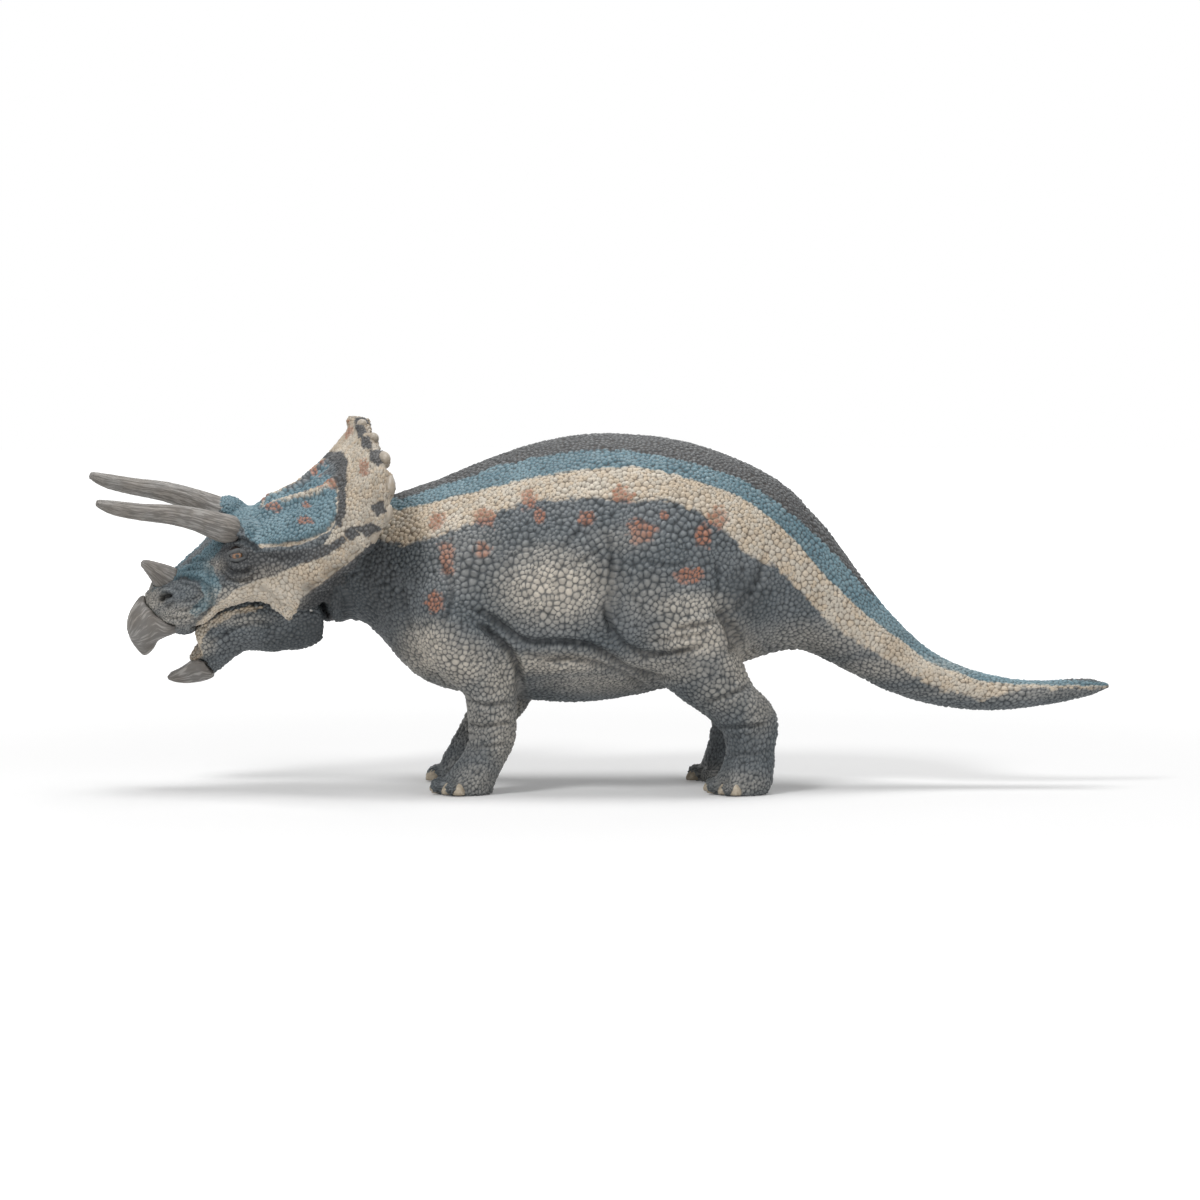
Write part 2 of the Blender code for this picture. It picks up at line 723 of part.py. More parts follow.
def frill_point(across, depth):
    """Point of the frill's sheet: across from -1 to 1, depth from 0 at the skull to 1."""
    place = abs(across) * (len(FRILL_SHARES) - 1)
    rim_x, rim_y, rim_z, root_x, root_y, root_z = row_at(numbered(FRILL_SHARES), place)
    side = 1 if across >= 0 else -1
    rim = head_point(rim_x, rim_y, rim_z, side)
    root = head_point(root_x, root_y, root_z, side)
    hollow = 4 * depth * (1 - depth) * FRILL_HOLLOW * (1 - abs(across) / 2)
    ridge = depth * (1 - depth) * FRILL_RIDGE * math.exp(-(across / FRILL_RIDGE_WIDTH_SHARE) ** 2)
    return root.lerp(rim, depth) + (hollow - 4 * ridge) * FRILL_SAG_SHARES


def frill_normal(across, depth):
    """Direction square to the frill's sheet, forwards."""
    near = FRILL_STEP_SHARE
    over = frill_point(min(across + near, 1), depth) - frill_point(max(across - near, -1), depth)
    out = frill_point(across, min(depth + near, 1)) - frill_point(across, max(depth - near, 0))
    return out.cross(over).normalized()


def make_frill():
    """Neck shield, thinner towards its rim."""
    rings = []
    for across in steps(-1.0, 1.0, FRILL_COLUMN_COUNT):
        front, back = [], []
        for depth in steps(0.0, 1.0, FRILL_ROW_COUNT):
            half = (FRILL_THICKNESS + (FRILL_RIM_THICKNESS - FRILL_THICKNESS) * depth) / 2
            offset = frill_normal(across, depth) * half
            front.append(frill_point(across, depth) + offset)
            back.append(frill_point(across, depth) - offset)
        rings.append(front + back[::-1])
    return loft("frill_sheet", rings)


def make_bosses():
    """Row of bony bosses round the frill's rim."""
    bm = bmesh.new()
    places = sorted({side * share for share in BOSS_PLACE_SHARES for side in (-1, 1)})
    for across in places:
        near = FRILL_STEP_SHARE
        tangent = frill_point(min(across + near, 1), 1.0) - frill_point(max(across - near, -1), 1.0)
        outward = frill_point(across, 1.0) - frill_point(across, 1.0 - near)
        tangent.normalize()
        outward = (outward - tangent * outward.dot(tangent)).normalized()
        normal = tangent.cross(outward)
        axes = (tangent * BOSS_HALF_LENGTH, outward * BOSS_HALF_HEIGHT, normal * BOSS_HALF_THICKNESS)
        place = frill_point(across, 1.0) + outward * (BOSS_RISE - BOSS_HALF_HEIGHT)
        make_ball(bm, axes, place, BALL_SEGMENTS, BALL_RINGS)
    return body_of("rim_bosses", bm)


def make_cheek_spike(side):
    """Spike below the cheek."""
    base, tip = (head_point(*share, side) for share in CHEEK_SPIKE_SHARES)
    direction = tip - base
    turn = direction.to_track_quat('Z', 'Y').to_matrix().to_4x4()
    bm = bmesh.new()
    bmesh.ops.create_cone(
        bm, cap_ends=True, segments=SPIKE_COUNT, radius1=CHEEK_SPIKE_RADIUS,
        radius2=CHEEK_SPIKE_RADIUS * CHEEK_TIP_SHARE, depth=direction.length,
        matrix=Matrix.Translation((base + tip) / 2) @ turn,
    )
    return body_of("cheek_spike_" + SIDES[side], bm)


def even_egg(low, high, half_width, count, widest_share, power, upper_power=None):
    """Outline with its points spaced evenly from the top."""
    fine = FINE_COUNT * count
    outline = egg(low, high, half_width, fine, widest_share, power, upper_power, 0.0)
    top = fine // 4
    return spread(outline[top:] + outline[:top], count)


def hinge_ring(distance, upper, lower, half_width, count, widest_share, power, upper_power=None):
    """Section bent round the hinge, at a distance from it, between two angles in degrees."""
    reach = math.radians(1.0) * distance
    outline = even_egg(
        -lower * reach, -upper * reach, half_width, count, widest_share, power, upper_power,
    )
    ring = []
    for across, up in outline:
        angle = -up / distance
        ring.append((-distance * math.cos(angle), across, -distance * math.sin(angle)))
    return ring


def hinge_loft(name, rows, finish=None, turn_up=0.0, turn_down=0.0, growth=0.0,
               count=JAW_RING_COUNT, power=JAW_POWER):
    """Body round the hinge from rows of distance, angles and half width."""
    rings = []
    for share, upper, lower, half_width in rows:
        rings.append(hinge_ring(
            share * JAW_LENGTH, upper - math.degrees(turn_up), lower + math.degrees(turn_down),
            half_width * FRILL_HALF_WIDTH + growth, count, JAW_WIDEST_SHARE, power,
        ))
    return loft(name, rings, finish)


def jaw_floor(share):
    """Angle in degrees of the jaw's inner floor at a distance share."""
    lower = row_at(JAW_SHARES, share)[1]
    return lower - math.degrees(JAW_WALL / (share * JAW_LENGTH))


def make_trough():
    """Inside of the jaw in front of its arms, with straight walls and a thin floor."""
    rows = list(JAW_SHARES)
    share, upper, lower, half_width = rows[-1]
    rows.append((share + HOLLOW_OVERRUN_SHARE, upper, lower, half_width))
    rings = []
    for share, upper, lower, half_width in rows:
        floor = lower - math.degrees(JAW_WALL / (share * JAW_LENGTH))
        widest = lower + (upper - lower) * JAW_WIDEST_SHARE
        width = min(HINGE_BLOCK_HALF_WIDTH, half_width * FRILL_HALF_WIDTH - JAW_WALL)
        rings.append(hinge_ring(
            share * JAW_LENGTH, HOLLOW_TOP, floor, width, HOLLOW_RING_COUNT,
            (floor - widest) / (floor - HOLLOW_TOP), JAW_POWER, HOLLOW_POWER,
        ))
    return loft("jaw_trough", rings)


def make_jaw(finish):
    """Lower jaw: an open trough whose two arms turn on the pin."""
    rings = []
    for place, low, high, half_width in JAW_ROOT_SHARES:
        outline = even_egg(
            low * JAW_LENGTH, high * JAW_LENGTH, half_width * FRILL_HALF_WIDTH, JAW_RING_COUNT,
            JAW_WIDEST_SHARE, JAW_POWER,
        )
        rings.append([(place * JAW_LENGTH, across, up) for across, up in outline])
    for share, upper, lower, half_width in JAW_SHARES:
        rings.append(hinge_ring(
            share * JAW_LENGTH, upper, lower, half_width * FRILL_HALF_WIDTH, JAW_RING_COUNT,
            JAW_WIDEST_SHARE, JAW_POWER,
        ))
    jaw = loft("lower_jaw", rings, finish)
    inner = HINGE_BLOCK_HALF_WIDTH + SEAM_GAP
    between = make_box(
        "arm_gap",
        (-JAW_SHARES[0][0] * JAW_LENGTH, -inner, -ARM_FLOOR_DROP),
        (JAW_LENGTH, inner, JAW_LENGTH),
    )
    bore = (PIN_RADIUS + PIN_CLEARANCE) / math.cos(math.pi / PIN_COUNT)
    reach = PIN_HALF_LENGTH + PIN_END_GAP
    tools = (
        between, make_trough(), make_rod("jaw_bore", bore, -reach, reach, PIN_COUNT),
        make_beak_stub("lower_beak_slot", SOCKET_GAP),
    )
    cut(jaw, *tools)
    return jaw, tools


def make_beak_stub(name, growth):
    """Tongue-shaped stub between the lower beak and the jaw's chin."""
    start, end, upper, lower, half_width = LOWER_STUB_SHARES
    rows = (
        (start - growth / JAW_LENGTH, upper, lower, half_width),
        (end, upper, lower, half_width),
    )
    return hinge_loft(
        name, rows, growth=growth, count=STUB_RING_COUNT, power=STUB_POWER,
        turn_up=growth / (start * JAW_LENGTH), turn_down=growth / (start * JAW_LENGTH),
    )


def make_lower_beak(finish):
    """Horny front of the lower jaw."""
    rows = finer(LOWER_BEAK_SHARES, LOWER_BEAK_STATION_COUNT)
    beak = hinge_loft("lower_beak", rows, finish, count=LOWER_BEAK_RING_COUNT)
    join(beak, make_beak_stub("lower_beak_stub", 0.0))
    return beak


def make_tongue(finish):
    """Tongue lying on the jaw's floor."""
    rings = []
    for share, height, width in finer(TONGUE_SHARES, TONGUE_STATION_COUNT):
        distance = share * JAW_LENGTH
        lower = jaw_floor(share) - math.degrees(SPIGOT_GAP / distance)
        upper = lower - math.degrees(height * TONGUE_HEIGHT / distance)
        rings.append(hinge_ring(
            distance, upper, lower, width * TONGUE_HALF_WIDTH, TONGUE_RING_COUNT,
            TONGUE_WIDEST_SHARE, BODY_POWER,
        ))
    return loft("tongue", rings, finish)


def make_upper_beak(finish):
    """Hooked beak below the snout, with a stub into it."""
    rings = []
    for share, front, rear, half_width in finer(BEAK_SHARES, BEAK_STATION_COUNT):
        middle, reach = (front + rear) / 2 * HEAD_LENGTH, (rear - front) / 2 * HEAD_LENGTH
        ring = []
        for k in range(BEAK_RING_COUNT):
            angle = 2 * math.pi * k / BEAK_RING_COUNT
            ring.append((
                middle + reach * math.cos(angle),
                half_width * FRILL_HALF_WIDTH * math.sin(angle), share * HEAD_HEIGHT,
            ))
        rings.append(ring)
    beak = loft("upper_beak", rings, finish)
    skull = skull_loft("snout_cut", SEAM_GAP)
    cut(beak, skull)
    stub = make_upper_stub("upper_beak_stub", 0.0)
    join(beak, stub)
    return beak, (skull, stub)


def make_upper_stub(name, growth):
    """Square stub between the upper beak and the snout."""
    (rear_share, front_share), (low_share, high_share), half_share = BEAK_STUB_SHARES
    half = half_share * FRILL_HALF_WIDTH + growth
    low = (rear_share * HEAD_LENGTH - growth, -half, low_share * HEAD_HEIGHT - growth)
    high = (front_share * HEAD_LENGTH + growth, half, high_share * HEAD_HEIGHT + growth)
    return make_box(name, low, high)


def make_head(frame, hinge, finish):
    """Skull, frill, cheeks and neck in one moulding, with the jaw's recess and the sockets."""
    head = skull_loft("head", finish=finish)
    neck = body_loft(
        "neck", 0.0, NECK_SEAM_SHARE - SEAM_GAP / BODY_LENGTH, NECK_STATION_COUNT,
        ring_count=TAIL_RING_COUNT,
    )
    seam = along(NECK_SEAM_SHARE)
    spigot = seam_spigot("neck_spigot", NECK_SEAM_SHARE, seam - WALL, seam + SPIGOT_LENGTH)
    solids = [make_cheek_spike(-1), make_cheek_spike(1), make_frill(), make_bosses()]
    join(head, neck, spigot, *solids)

    sweep = hinge_loft(
        "jaw_sweep", JAW_SWEEP_SHARES, turn_up=JAW_CLOSING + JAW_SWING_MARGIN,
        turn_down=JAW_OPENING + JAW_SWING_MARGIN, growth=JAW_CLEARANCE, power=SWEEP_POWER,
    )
    recess = make_rod(
        "hinge_recess", RECESS_RADIUS, -RECESS_HALF_WIDTH, RECESS_HALF_WIDTH, ROUND_COUNT,
    )
    cut(head, recess, sweep)
    block = make_box(
        "hinge_block", (-BLOCK_HALF_LENGTH, -HINGE_BLOCK_HALF_WIDTH, -BLOCK_DROP),
        (BLOCK_HALF_LENGTH, HINGE_BLOCK_HALF_WIDTH, BLOCK_HEIGHT),
    )
    join(head, block)
    bore = make_rod(
        "pin_seat", (PIN_RADIUS + PIN_SEAT_GAP) / math.cos(math.pi / PIN_COUNT),
        -PIN_HALF_LENGTH, PIN_HALF_LENGTH, PIN_COUNT,
    )
    cut(head, bore)
    for thing in (sweep, recess, block, bore):
        placed(thing, hinge)

    sockets = [make_upper_stub("upper_beak_slot", SOCKET_GAP)]
    sockets.append(make_tube("nose_socket", NOSE_HORN_SHARES, NOSE_HORN_RADIUS, 1, SOCKET_GAP))
    for side in (-1, 1):
        name = "brow_socket_" + SIDES[side]
        sockets.append(make_tube(name, BROW_HORN_SHARES, HORN_RADIUS, side, SOCKET_GAP))
        bm = bmesh.new()
        ball = EYE_RADIUS + EYE_GAP
        axes = (Vector((ball, 0, 0)), Vector((0, ball, 0)), Vector((0, 0, ball)))
        make_ball(bm, axes, head_point(*EYE_PLACE_SHARES, side), EYE_SEGMENTS, EYE_RINGS)
        sockets.append(body_of("eye_socket_" + SIDES[side], bm))
    cut(head, *sockets)
    for thing in (head, *solids, *sockets):
        placed(thing, frame)
    return head


def make_eye(side, finish):
    """Eye bead."""
    bm = bmesh.new()
    axes = (Vector((EYE_RADIUS, 0, 0)), Vector((0, EYE_RADIUS, 0)), Vector((0, 0, EYE_RADIUS)))
    make_ball(bm, axes, head_point(*EYE_PLACE_SHARES, side), EYE_SEGMENTS, EYE_RINGS)
    return body_of("eye_" + SIDES[side], bm, finish)


def centre_figure():
    """Parents everything to one empty and brings the figure's middle over the origin."""
    bpy.context.view_layer.update()
    graph = bpy.context.evaluated_depsgraph_get()
    low, high = Vector((math.inf,) * 3), Vector((-math.inf,) * 3)
    for thing in parts.objects:
        shaped = thing.evaluated_get(graph)
        mesh = shaped.to_mesh()
        for vert in mesh.vertices:
            point = shaped.matrix_world @ vert.co
            low = Vector(map(min, low, point))
            high = Vector(map(max, high, point))
        shaped.to_mesh_clear()
    origin = bpy.data.objects.new("figure_origin", None)
    parts.objects.link(origin)
    origin.location = (-(low.x + high.x) / 2, -(low.y + high.y) / 2, -low.z)
    for thing in (*parts.objects, *cutters.objects):
        if thing is not origin:
            thing.parent = origin


def main():
    global parts, cutters
    for thing in list(bpy.data.objects):
        bpy.data.objects.remove(thing)
    parts = collection("horned_dinosaur_figure")
    cutters = collection("cutters")

    skin_vinyl = material("painted_vinyl", (0.110, 0.140, 0.160), 0.55)
    horn_vinyl = material("horn_grey_vinyl", (0.125, 0.118, 0.110), 0.50)
    mouth_vinyl = material("mouth_vinyl", (0.230, 0.120, 0.095), 0.45)
    eye_gloss = material("eye_gloss", (0.200, 0.110, 0.060), 0.15)
    pin_steel = material("pin_steel", (0.550, 0.550, 0.560), 0.35)

    torso = make_torso(skin_vinyl)
    make_tail(skin_vinyl)
    for side in (-1, 1):
        make_leg(
            "front_leg_" + SIDES[side], FRONT_LEG_SHARES, side, FRONT_PLUG_HEIGHT_SHARE,
            torso, skin_vinyl,
        )
        make_leg(
            "rear_leg_" + SIDES[side], REAR_LEG_SHARES, side, REAR_PLUG_HEIGHT_SHARE,
            torso, skin_vinyl,
        )

    frame = head_frame()
    hinge = frame @ Matrix.Translation(JAW_PIVOT)
    make_head(frame, hinge, skin_vinyl)
    beak, tools = make_upper_beak(horn_vinyl)
    nose = make_tube("nose_horn", NOSE_HORN_SHARES, NOSE_HORN_RADIUS, 1, finish=horn_vinyl)
    for thing in (beak, *tools, nose):
        placed(thing, frame)
    for side in (-1, 1):
        name = "brow_horn_" + SIDES[side]
        horn = make_tube(name, BROW_HORN_SHARES, HORN_RADIUS, side, finish=horn_vinyl)
        placed(horn, frame)
        placed(make_eye(side, eye_gloss), frame)

    jaw, tools = make_jaw(skin_vinyl)
    lower_beak = make_lower_beak(horn_vinyl)
    pin = make_rod(
        "jaw_pin", PIN_RADIUS, -PIN_HALF_LENGTH, PIN_HALF_LENGTH, PIN_COUNT, pin_steel,
    )
    for thing in (jaw, *tools, lower_beak, pin, make_tongue(mouth_vinyl)):
        placed(thing, hinge)
    placed(bpy.data.objects["lower_beak_stub"], hinge)
    centre_figure()


main()
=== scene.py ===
"""Looks of a toy horned dinosaur figure: a cast and painted vinyl animal with a
hinged lower jaw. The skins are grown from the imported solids: they are joined,
smoothed, folded and covered with scales, and then painted through masks."""

import json
import math

import bmesh
import bpy
import numpy as np
from mathutils import Matrix, Vector
from mathutils.bvhtree import BVHTree
from mathutils.kdtree import KDTree

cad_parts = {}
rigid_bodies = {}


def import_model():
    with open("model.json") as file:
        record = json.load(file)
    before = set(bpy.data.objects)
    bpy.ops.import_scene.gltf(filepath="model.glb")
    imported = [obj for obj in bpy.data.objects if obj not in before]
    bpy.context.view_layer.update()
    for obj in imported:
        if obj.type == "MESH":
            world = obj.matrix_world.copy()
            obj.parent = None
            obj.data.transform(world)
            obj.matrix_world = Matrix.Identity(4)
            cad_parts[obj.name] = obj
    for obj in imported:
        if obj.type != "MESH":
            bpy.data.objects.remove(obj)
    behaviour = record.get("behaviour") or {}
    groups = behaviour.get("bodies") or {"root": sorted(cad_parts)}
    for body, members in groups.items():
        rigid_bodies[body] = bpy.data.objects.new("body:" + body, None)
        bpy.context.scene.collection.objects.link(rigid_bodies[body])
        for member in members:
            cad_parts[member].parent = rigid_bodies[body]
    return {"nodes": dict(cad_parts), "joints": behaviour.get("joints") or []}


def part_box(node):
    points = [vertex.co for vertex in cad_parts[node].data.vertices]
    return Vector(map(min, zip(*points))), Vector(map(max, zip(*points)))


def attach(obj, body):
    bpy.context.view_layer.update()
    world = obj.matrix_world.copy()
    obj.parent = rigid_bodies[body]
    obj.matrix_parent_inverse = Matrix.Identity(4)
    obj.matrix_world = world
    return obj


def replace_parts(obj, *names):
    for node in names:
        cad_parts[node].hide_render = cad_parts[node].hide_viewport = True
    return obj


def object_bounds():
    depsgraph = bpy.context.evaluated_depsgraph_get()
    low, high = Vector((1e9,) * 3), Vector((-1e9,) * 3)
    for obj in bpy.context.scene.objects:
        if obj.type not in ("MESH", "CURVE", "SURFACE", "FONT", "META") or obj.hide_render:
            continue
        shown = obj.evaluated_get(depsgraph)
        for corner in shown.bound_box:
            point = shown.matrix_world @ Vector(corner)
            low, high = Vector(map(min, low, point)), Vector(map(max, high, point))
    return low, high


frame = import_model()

bl_info = {
    "name": "Horned dinosaur figure",
    "version": (1, 0, 0),
    "blender": (4, 5, 0),
    "location": "3D View > Sidebar > Dinosaur",
    "description": "Builds the painted skin, horns, beaks, claws and eyes of a toy horned dinosaur",
    "category": "Object",
}

MM = 0.001
SEED = 11
CAD_BOX = [list(corner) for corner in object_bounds()]
LOW, HIGH = Vector(CAD_BOX[0]), Vector(CAD_BOX[1])
HINGE = frame["joints"][0]

# The photograph's view: its middle, distance, height angle and pixels to the metre
VIEW_AIM = Vector((-0.36 * MM, 3.53 * MM, 46.9 * MM))
VIEW_DISTANCE = 1100.0 * MM
VIEW_HEIGHT_ANGLE = math.radians(4.0)
PIXELS_ACROSS = 1200.0
PIXELS_PER_METRE = 4000.0
SENSOR_WIDTH_MM = 36.0

# Lamps: name, place, size in metres and power in watts. All are turned to one place.
LAMPS = (
    ("key", (-0.50, -0.70, 0.90), 0.28, 5.8), ("fill", (0.80, -0.70, 0.35), 0.8, 2.0),
    ("top", (0.02, 0.04, 1.15), 0.55, 7.2), ("back", (0.25, 0.85, 0.55), 0.8, 1.6),
)
LAMP_AIM = Vector((0.0, 0.0, 0.04))
AMBIENT_LIGHT = 0.17
FLOOR_RADIUS = 2.4
FLOOR_GAP = 0.05 * MM

# Middle planes that the near side is mirrored about: a place and the way across
BODY_MIDDLE = (Vector((0.0, 3.53 * MM, 0.0)), Vector((0.0, 1.0, 0.0)))
HEAD_MIDDLE = (Vector(HINGE["pos_m"]), Vector(HINGE["axis"]).normalized())

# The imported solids, and how their skins are parted
LEGS = ("front_leg_left", "front_leg_right", "rear_leg_left", "rear_leg_right")
BODY_NODES = ("torso_shell",) + LEGS + ("tail",)
HORNS = ("brow_horn_left", "brow_horn_right", "nose_horn", "upper_beak", "lower_beak")
HEAD_SKINS = ("skull_skin", "frill_left_skin", "frill_right_skin")
FRILL_COLUMN = 258.0  # pixel column where the skull's skin meets the frill's
TORSO_CUT = 2.6 * MM  # the torso's front and rear skins meet here, in the fold of the flank

# How the skins are grown from the solids
SEAM_GROWTH = 0.22 * MM  # closes the seams between glued solids
JOIN_REACH = 2.6 * MM  # how near a join the skin is smoothed more
SOFT_ROUNDS = 26  # rounds of that smoothing
JAW_FINER = 0.9  # the jaw's squares against the head's
LEAST_FACES = 60  # a smaller speck left by a cut is dropped

# Mounds of flesh that cover the glued joins: middle and half lengths in millimetres
NECK_MOUNDS = (((-61.0, 3.5, 56.0), (7.0, 13.2, 14.4)), ((-65.4, 3.5, 50.0), (4.4, 12.4, 8.8)),
               ((-68.5, 6.4, 45.2), (3.2, 3.0, 4.2)))
MUZZLE_MOUNDS = (((-104.0, -1.6, 40.7), (3.4, 4.6, 2.2)),)
JAW_MOUNDS = (((-98.9, 4.2, 33.6), (3.6, 4.2, 3.0)), ((-100.7, 3.9, 32.5), (2.5, 3.4, 1.9)))

# Mounds of skin at the brow horns' roots: length of root looked at in metres, then forward
# shift and half lengths in shares of the root's radius
HORN_MOUNDS = (("brow_horn_left", 0.0015, 0.65, (0.85, 1.02, 1.02)),
               ("brow_horn_right", 0.005, 0.45, (1.3, 1.15, 1.15)))

# Horns and beaks: ridges round each, their height, and how much the darker beaks are shifted
FIBRE_COUNTS = (7, 12, 17, 23)
FIBRE_SWAY = 9.0 * MM
RIDGE_HEIGHT = 0.16 * MM
GRAIN_RADIUS = 3.0
BEAK_DARKER = 0.5
# The lower beak's top edge: places along it and its height there, in millimetres
LOWER_BEAK_TOP = ((-108.6, -105.0, -102.4, -99.0, -96.0), (28.6, 29.7, 31.2, 31.6, 31.0))

# The eyelids' ring, in shares of the bead's radius, and its turn from the head's middle plane
LID_HALF_LENGTH, LID_ABOVE, LID_BELOW, LID_THICK = 1.04, 0.62, 0.50, 0.27
LID_STEPS = 40
EYE_TURN = Vector((-0.10, 0.0, 0.05))
EYE_AHEAD = Vector((-1.0, 0.0, -0.18))

# Claws: their angles round a foot in degrees, and the height they are set at
CLAW_ANGLES = (-24.0, 14.0, 48.0, 80.0)
CLAW_LEVEL = 1.3 * MM
FOOT_HEIGHT = 4.0 * MM

# Scales: how far outside their middles lie, so that thin forms have two sides, the cubes in
# which they are coarser or finer and by how much, the step between two sizes, and the spacing
SEED_LIFT = 1.2 * MM
SIZE_PATCH = 4.0 * MM
PATCH_SIZES = (0.74, 1.3)
SIZE_STEP = 1.18
SCALE_SPACING = 0.93

# Folds: how much deeper they are pressed than their table says, and how high the lips beside them stand
FOLD_GAIN = 1.35
FOLD_LIP = 0.42

VINYL_IOR = 1.53

# Folds: width and depth in pixels and metres, then the points they run through.
# A positive depth is a groove, a negative one a ridge.
BODY_FOLDS = (
    (3.6, 0.0009, ((462, 604), (487, 615), (504, 627), (518, 638), (533, 643), (562, 642), (590, 645),
                   (610, 657), (629, 669), (657, 677), (680, 682))),
    (3.6, 0.0009, ((472, 620), (495, 636), (510, 651), (518, 667), (520, 690))),
    (3.4, 0.0007, ((533, 669), (545, 661), (571, 659), (600, 663), (619, 671), (638, 682), (657, 690))),
    (3.6, 0.0005, ((598, 527), (610, 542), (612, 565), (610, 592), (607, 621), (615, 642))),
    (2.6, 0.0003, ((592, 545), (600, 560), (602, 590), (598, 620), (604, 640))),
    (2.6, 0.0003, ((618, 540), (621, 570), (618, 600), (620, 625))),
    (3.4, 0.0008, ((606, 588), (604, 611), (612, 630), (625, 646), (646, 655), (667, 654), (694, 648), (713, 642))),
    (2.8, 0.0006, ((672, 630), (694, 626), (720, 621))),
    (2.6, 0.0004, ((650, 643), (668, 640), (690, 636), (712, 632))),
    (5.0, 0.0011, ((716, 606), (724, 618), (730, 630), (733, 642), (732, 655))),
    (3.6, 0.0006, ((765, 552), (761, 573), (751, 592), (738, 607), (726, 616))),
    (2.6, 0.0005, ((716, 560), (719, 580), (716, 600))),
    (3.0, 0.0005, ((440, 560), (452, 585), (450, 610), (440, 630))),
    (3.0, 0.0005, ((398, 575), (404, 600), (412, 640))),
    (2.6, 0.0004, ((590, 520), (575, 535), (560, 552))),
    (2.6, 0.0004, ((606, 548), (590, 556), (574, 566))),
    (2.6, 0.0004, ((640, 560), (665, 566), (692, 563))),
    (2.6, 0.0004, ((628, 590), (640, 606), (648, 622))),
    (2.4, 0.0005, ((466, 700), (482, 706), (500, 704), (516, 698))),
    (2.4, 0.0005, ((462, 722), (480, 728), (500, 724), (514, 720))),
    (2.2, 0.0004, ((458, 742), (474, 748), (494, 747), (510, 742))),
    (2.4, 0.0005, ((700, 705), (718, 700), (740, 690), (752, 684))),
    (2.4, 0.0006, ((716, 728), (732, 728), (752, 726), (770, 722))),
    (2.2, 0.0004, ((718, 752), (734, 756), (752, 755), (770, 750))),
)

# Muscles and hollows: middle, half width and half height in pixels, and rise in metres
BODY_MASSES = (
    (448, 560, 44, 52, 0.0008),
    (455, 640, 40, 40, 0.0010),
    (672, 585, 56, 60, 0.0006),
    (700, 650, 34, 22, 0.0008),
    (590, 665, 70, 12, 0.0004),
    (490, 715, 20, 10, 0.0005),
    (748, 706, 22, 16, 0.0008),
    (745, 770, 26, 10, 0.0005),
)

# Places that are smoothed more: middle, half width and half height in pixels
HEAD_SOFT_PLACES = ((262, 520, 15, 40), (340, 600, 26, 34))

# Bone bosses round the frill's rim: middle, half length and half thickness in pixels
RIM_BOSSES = (
    (310, 589, 8.5, 5.4), (333, 572, 8.5, 5.0), (354, 557, 8.0, 4.8), (372, 538, 9.0, 5.6), (387, 514, 9.8, 5.4),
    (391, 485, 11.0, 5.4), (385, 457, 10.0, 5.6), (373, 438, 7.5, 5.6), (362, 424, 6.5, 5.0), (353, 416, 6.0, 4.8),
)
RIM_MIDDLE = (340.0, 515.0)
UPPER_BOSSES = 5  # the bosses from this one on stand on the thin top of the rim

HEAD_FOLDS = (
    (2.6, 0.0006, ((150, 610), (147, 598), (152, 588), (165, 580), (182, 577), (198, 580), (209, 588),
                   (213, 600), (208, 612), (196, 622), (182, 628))),
    (2.0, 0.0003, ((157, 611), (155, 599), (162, 588), (178, 583), (194, 586), (204, 596), (203, 608), (192, 618))),
    (2.6, 0.0015, ((161, 602), (163, 597), (168, 595), (172, 597))),
    (1.8, -0.0006, ((158, 604), (160, 595), (167, 591), (174, 593), (177, 598))),
    (2.0, 0.0005, ((166, 606), (172, 604), (176, 600))),
    (1.6, 0.0003, ((160, 617), (176, 618), (194, 616), (207, 610))),
    (1.6, 0.0003, ((158, 623), (174, 626), (190, 627), (203, 620))),
    (1.6, 0.0003, ((176, 610), (190, 609), (203, 603))),
    (1.6, 0.0003, ((181, 602), (192, 600), (201, 595))),
    (1.6, 0.0003, ((172, 574), (188, 570), (204, 568), (214, 572))),
    (1.6, 0.0003, ((184, 564), (198, 560), (210, 560))),
    (2.4, 0.0008, ((221, 543), (230, 539), (242, 540), (252, 545), (261, 553))),
    (2.0, 0.0004, ((226, 549), (234, 545), (244, 546), (253, 552))),
    (2.4, 0.0007, ((224, 560), (226, 568), (234, 573), (246, 572), (256, 566))),
    (2.0, 0.0005, ((219, 558), (221, 572), (232, 581), (247, 580), (260, 571))),
    (3.0, 0.0004, ((262, 556), (285, 560), (305, 556))),
    (2.6, 0.0004, ((215, 560), (208, 572), (210, 584))),
    (3.5, -0.0010, ((258, 512), (275, 505), (300, 497), (325, 489), (345, 470))),
    (2.4, 0.0005, ((262, 546), (300, 542), (328, 528), (338, 512))),
    (3.0, 0.0004, ((258, 585), (272, 596), (284, 610))),
    (2.6, 0.0005, ((300, 594), (322, 580), (346, 562), (364, 545))),
)

HEAD_MASSES = (
    (181, 602, 24, 17, 0.0010),
    (242, 548, 24, 11, 0.0007),
    (240, 572, 18, 9, 0.0004),
    (290, 575, 30, 20, 0.0008),
)

JAW_FOLDS = (
    (2.4, 0.0004, ((206, 650), (216, 640), (236, 628), (262, 622), (284, 632))),
    (2.2, 0.0003, ((200, 668), (214, 658), (232, 650), (252, 642))),
)

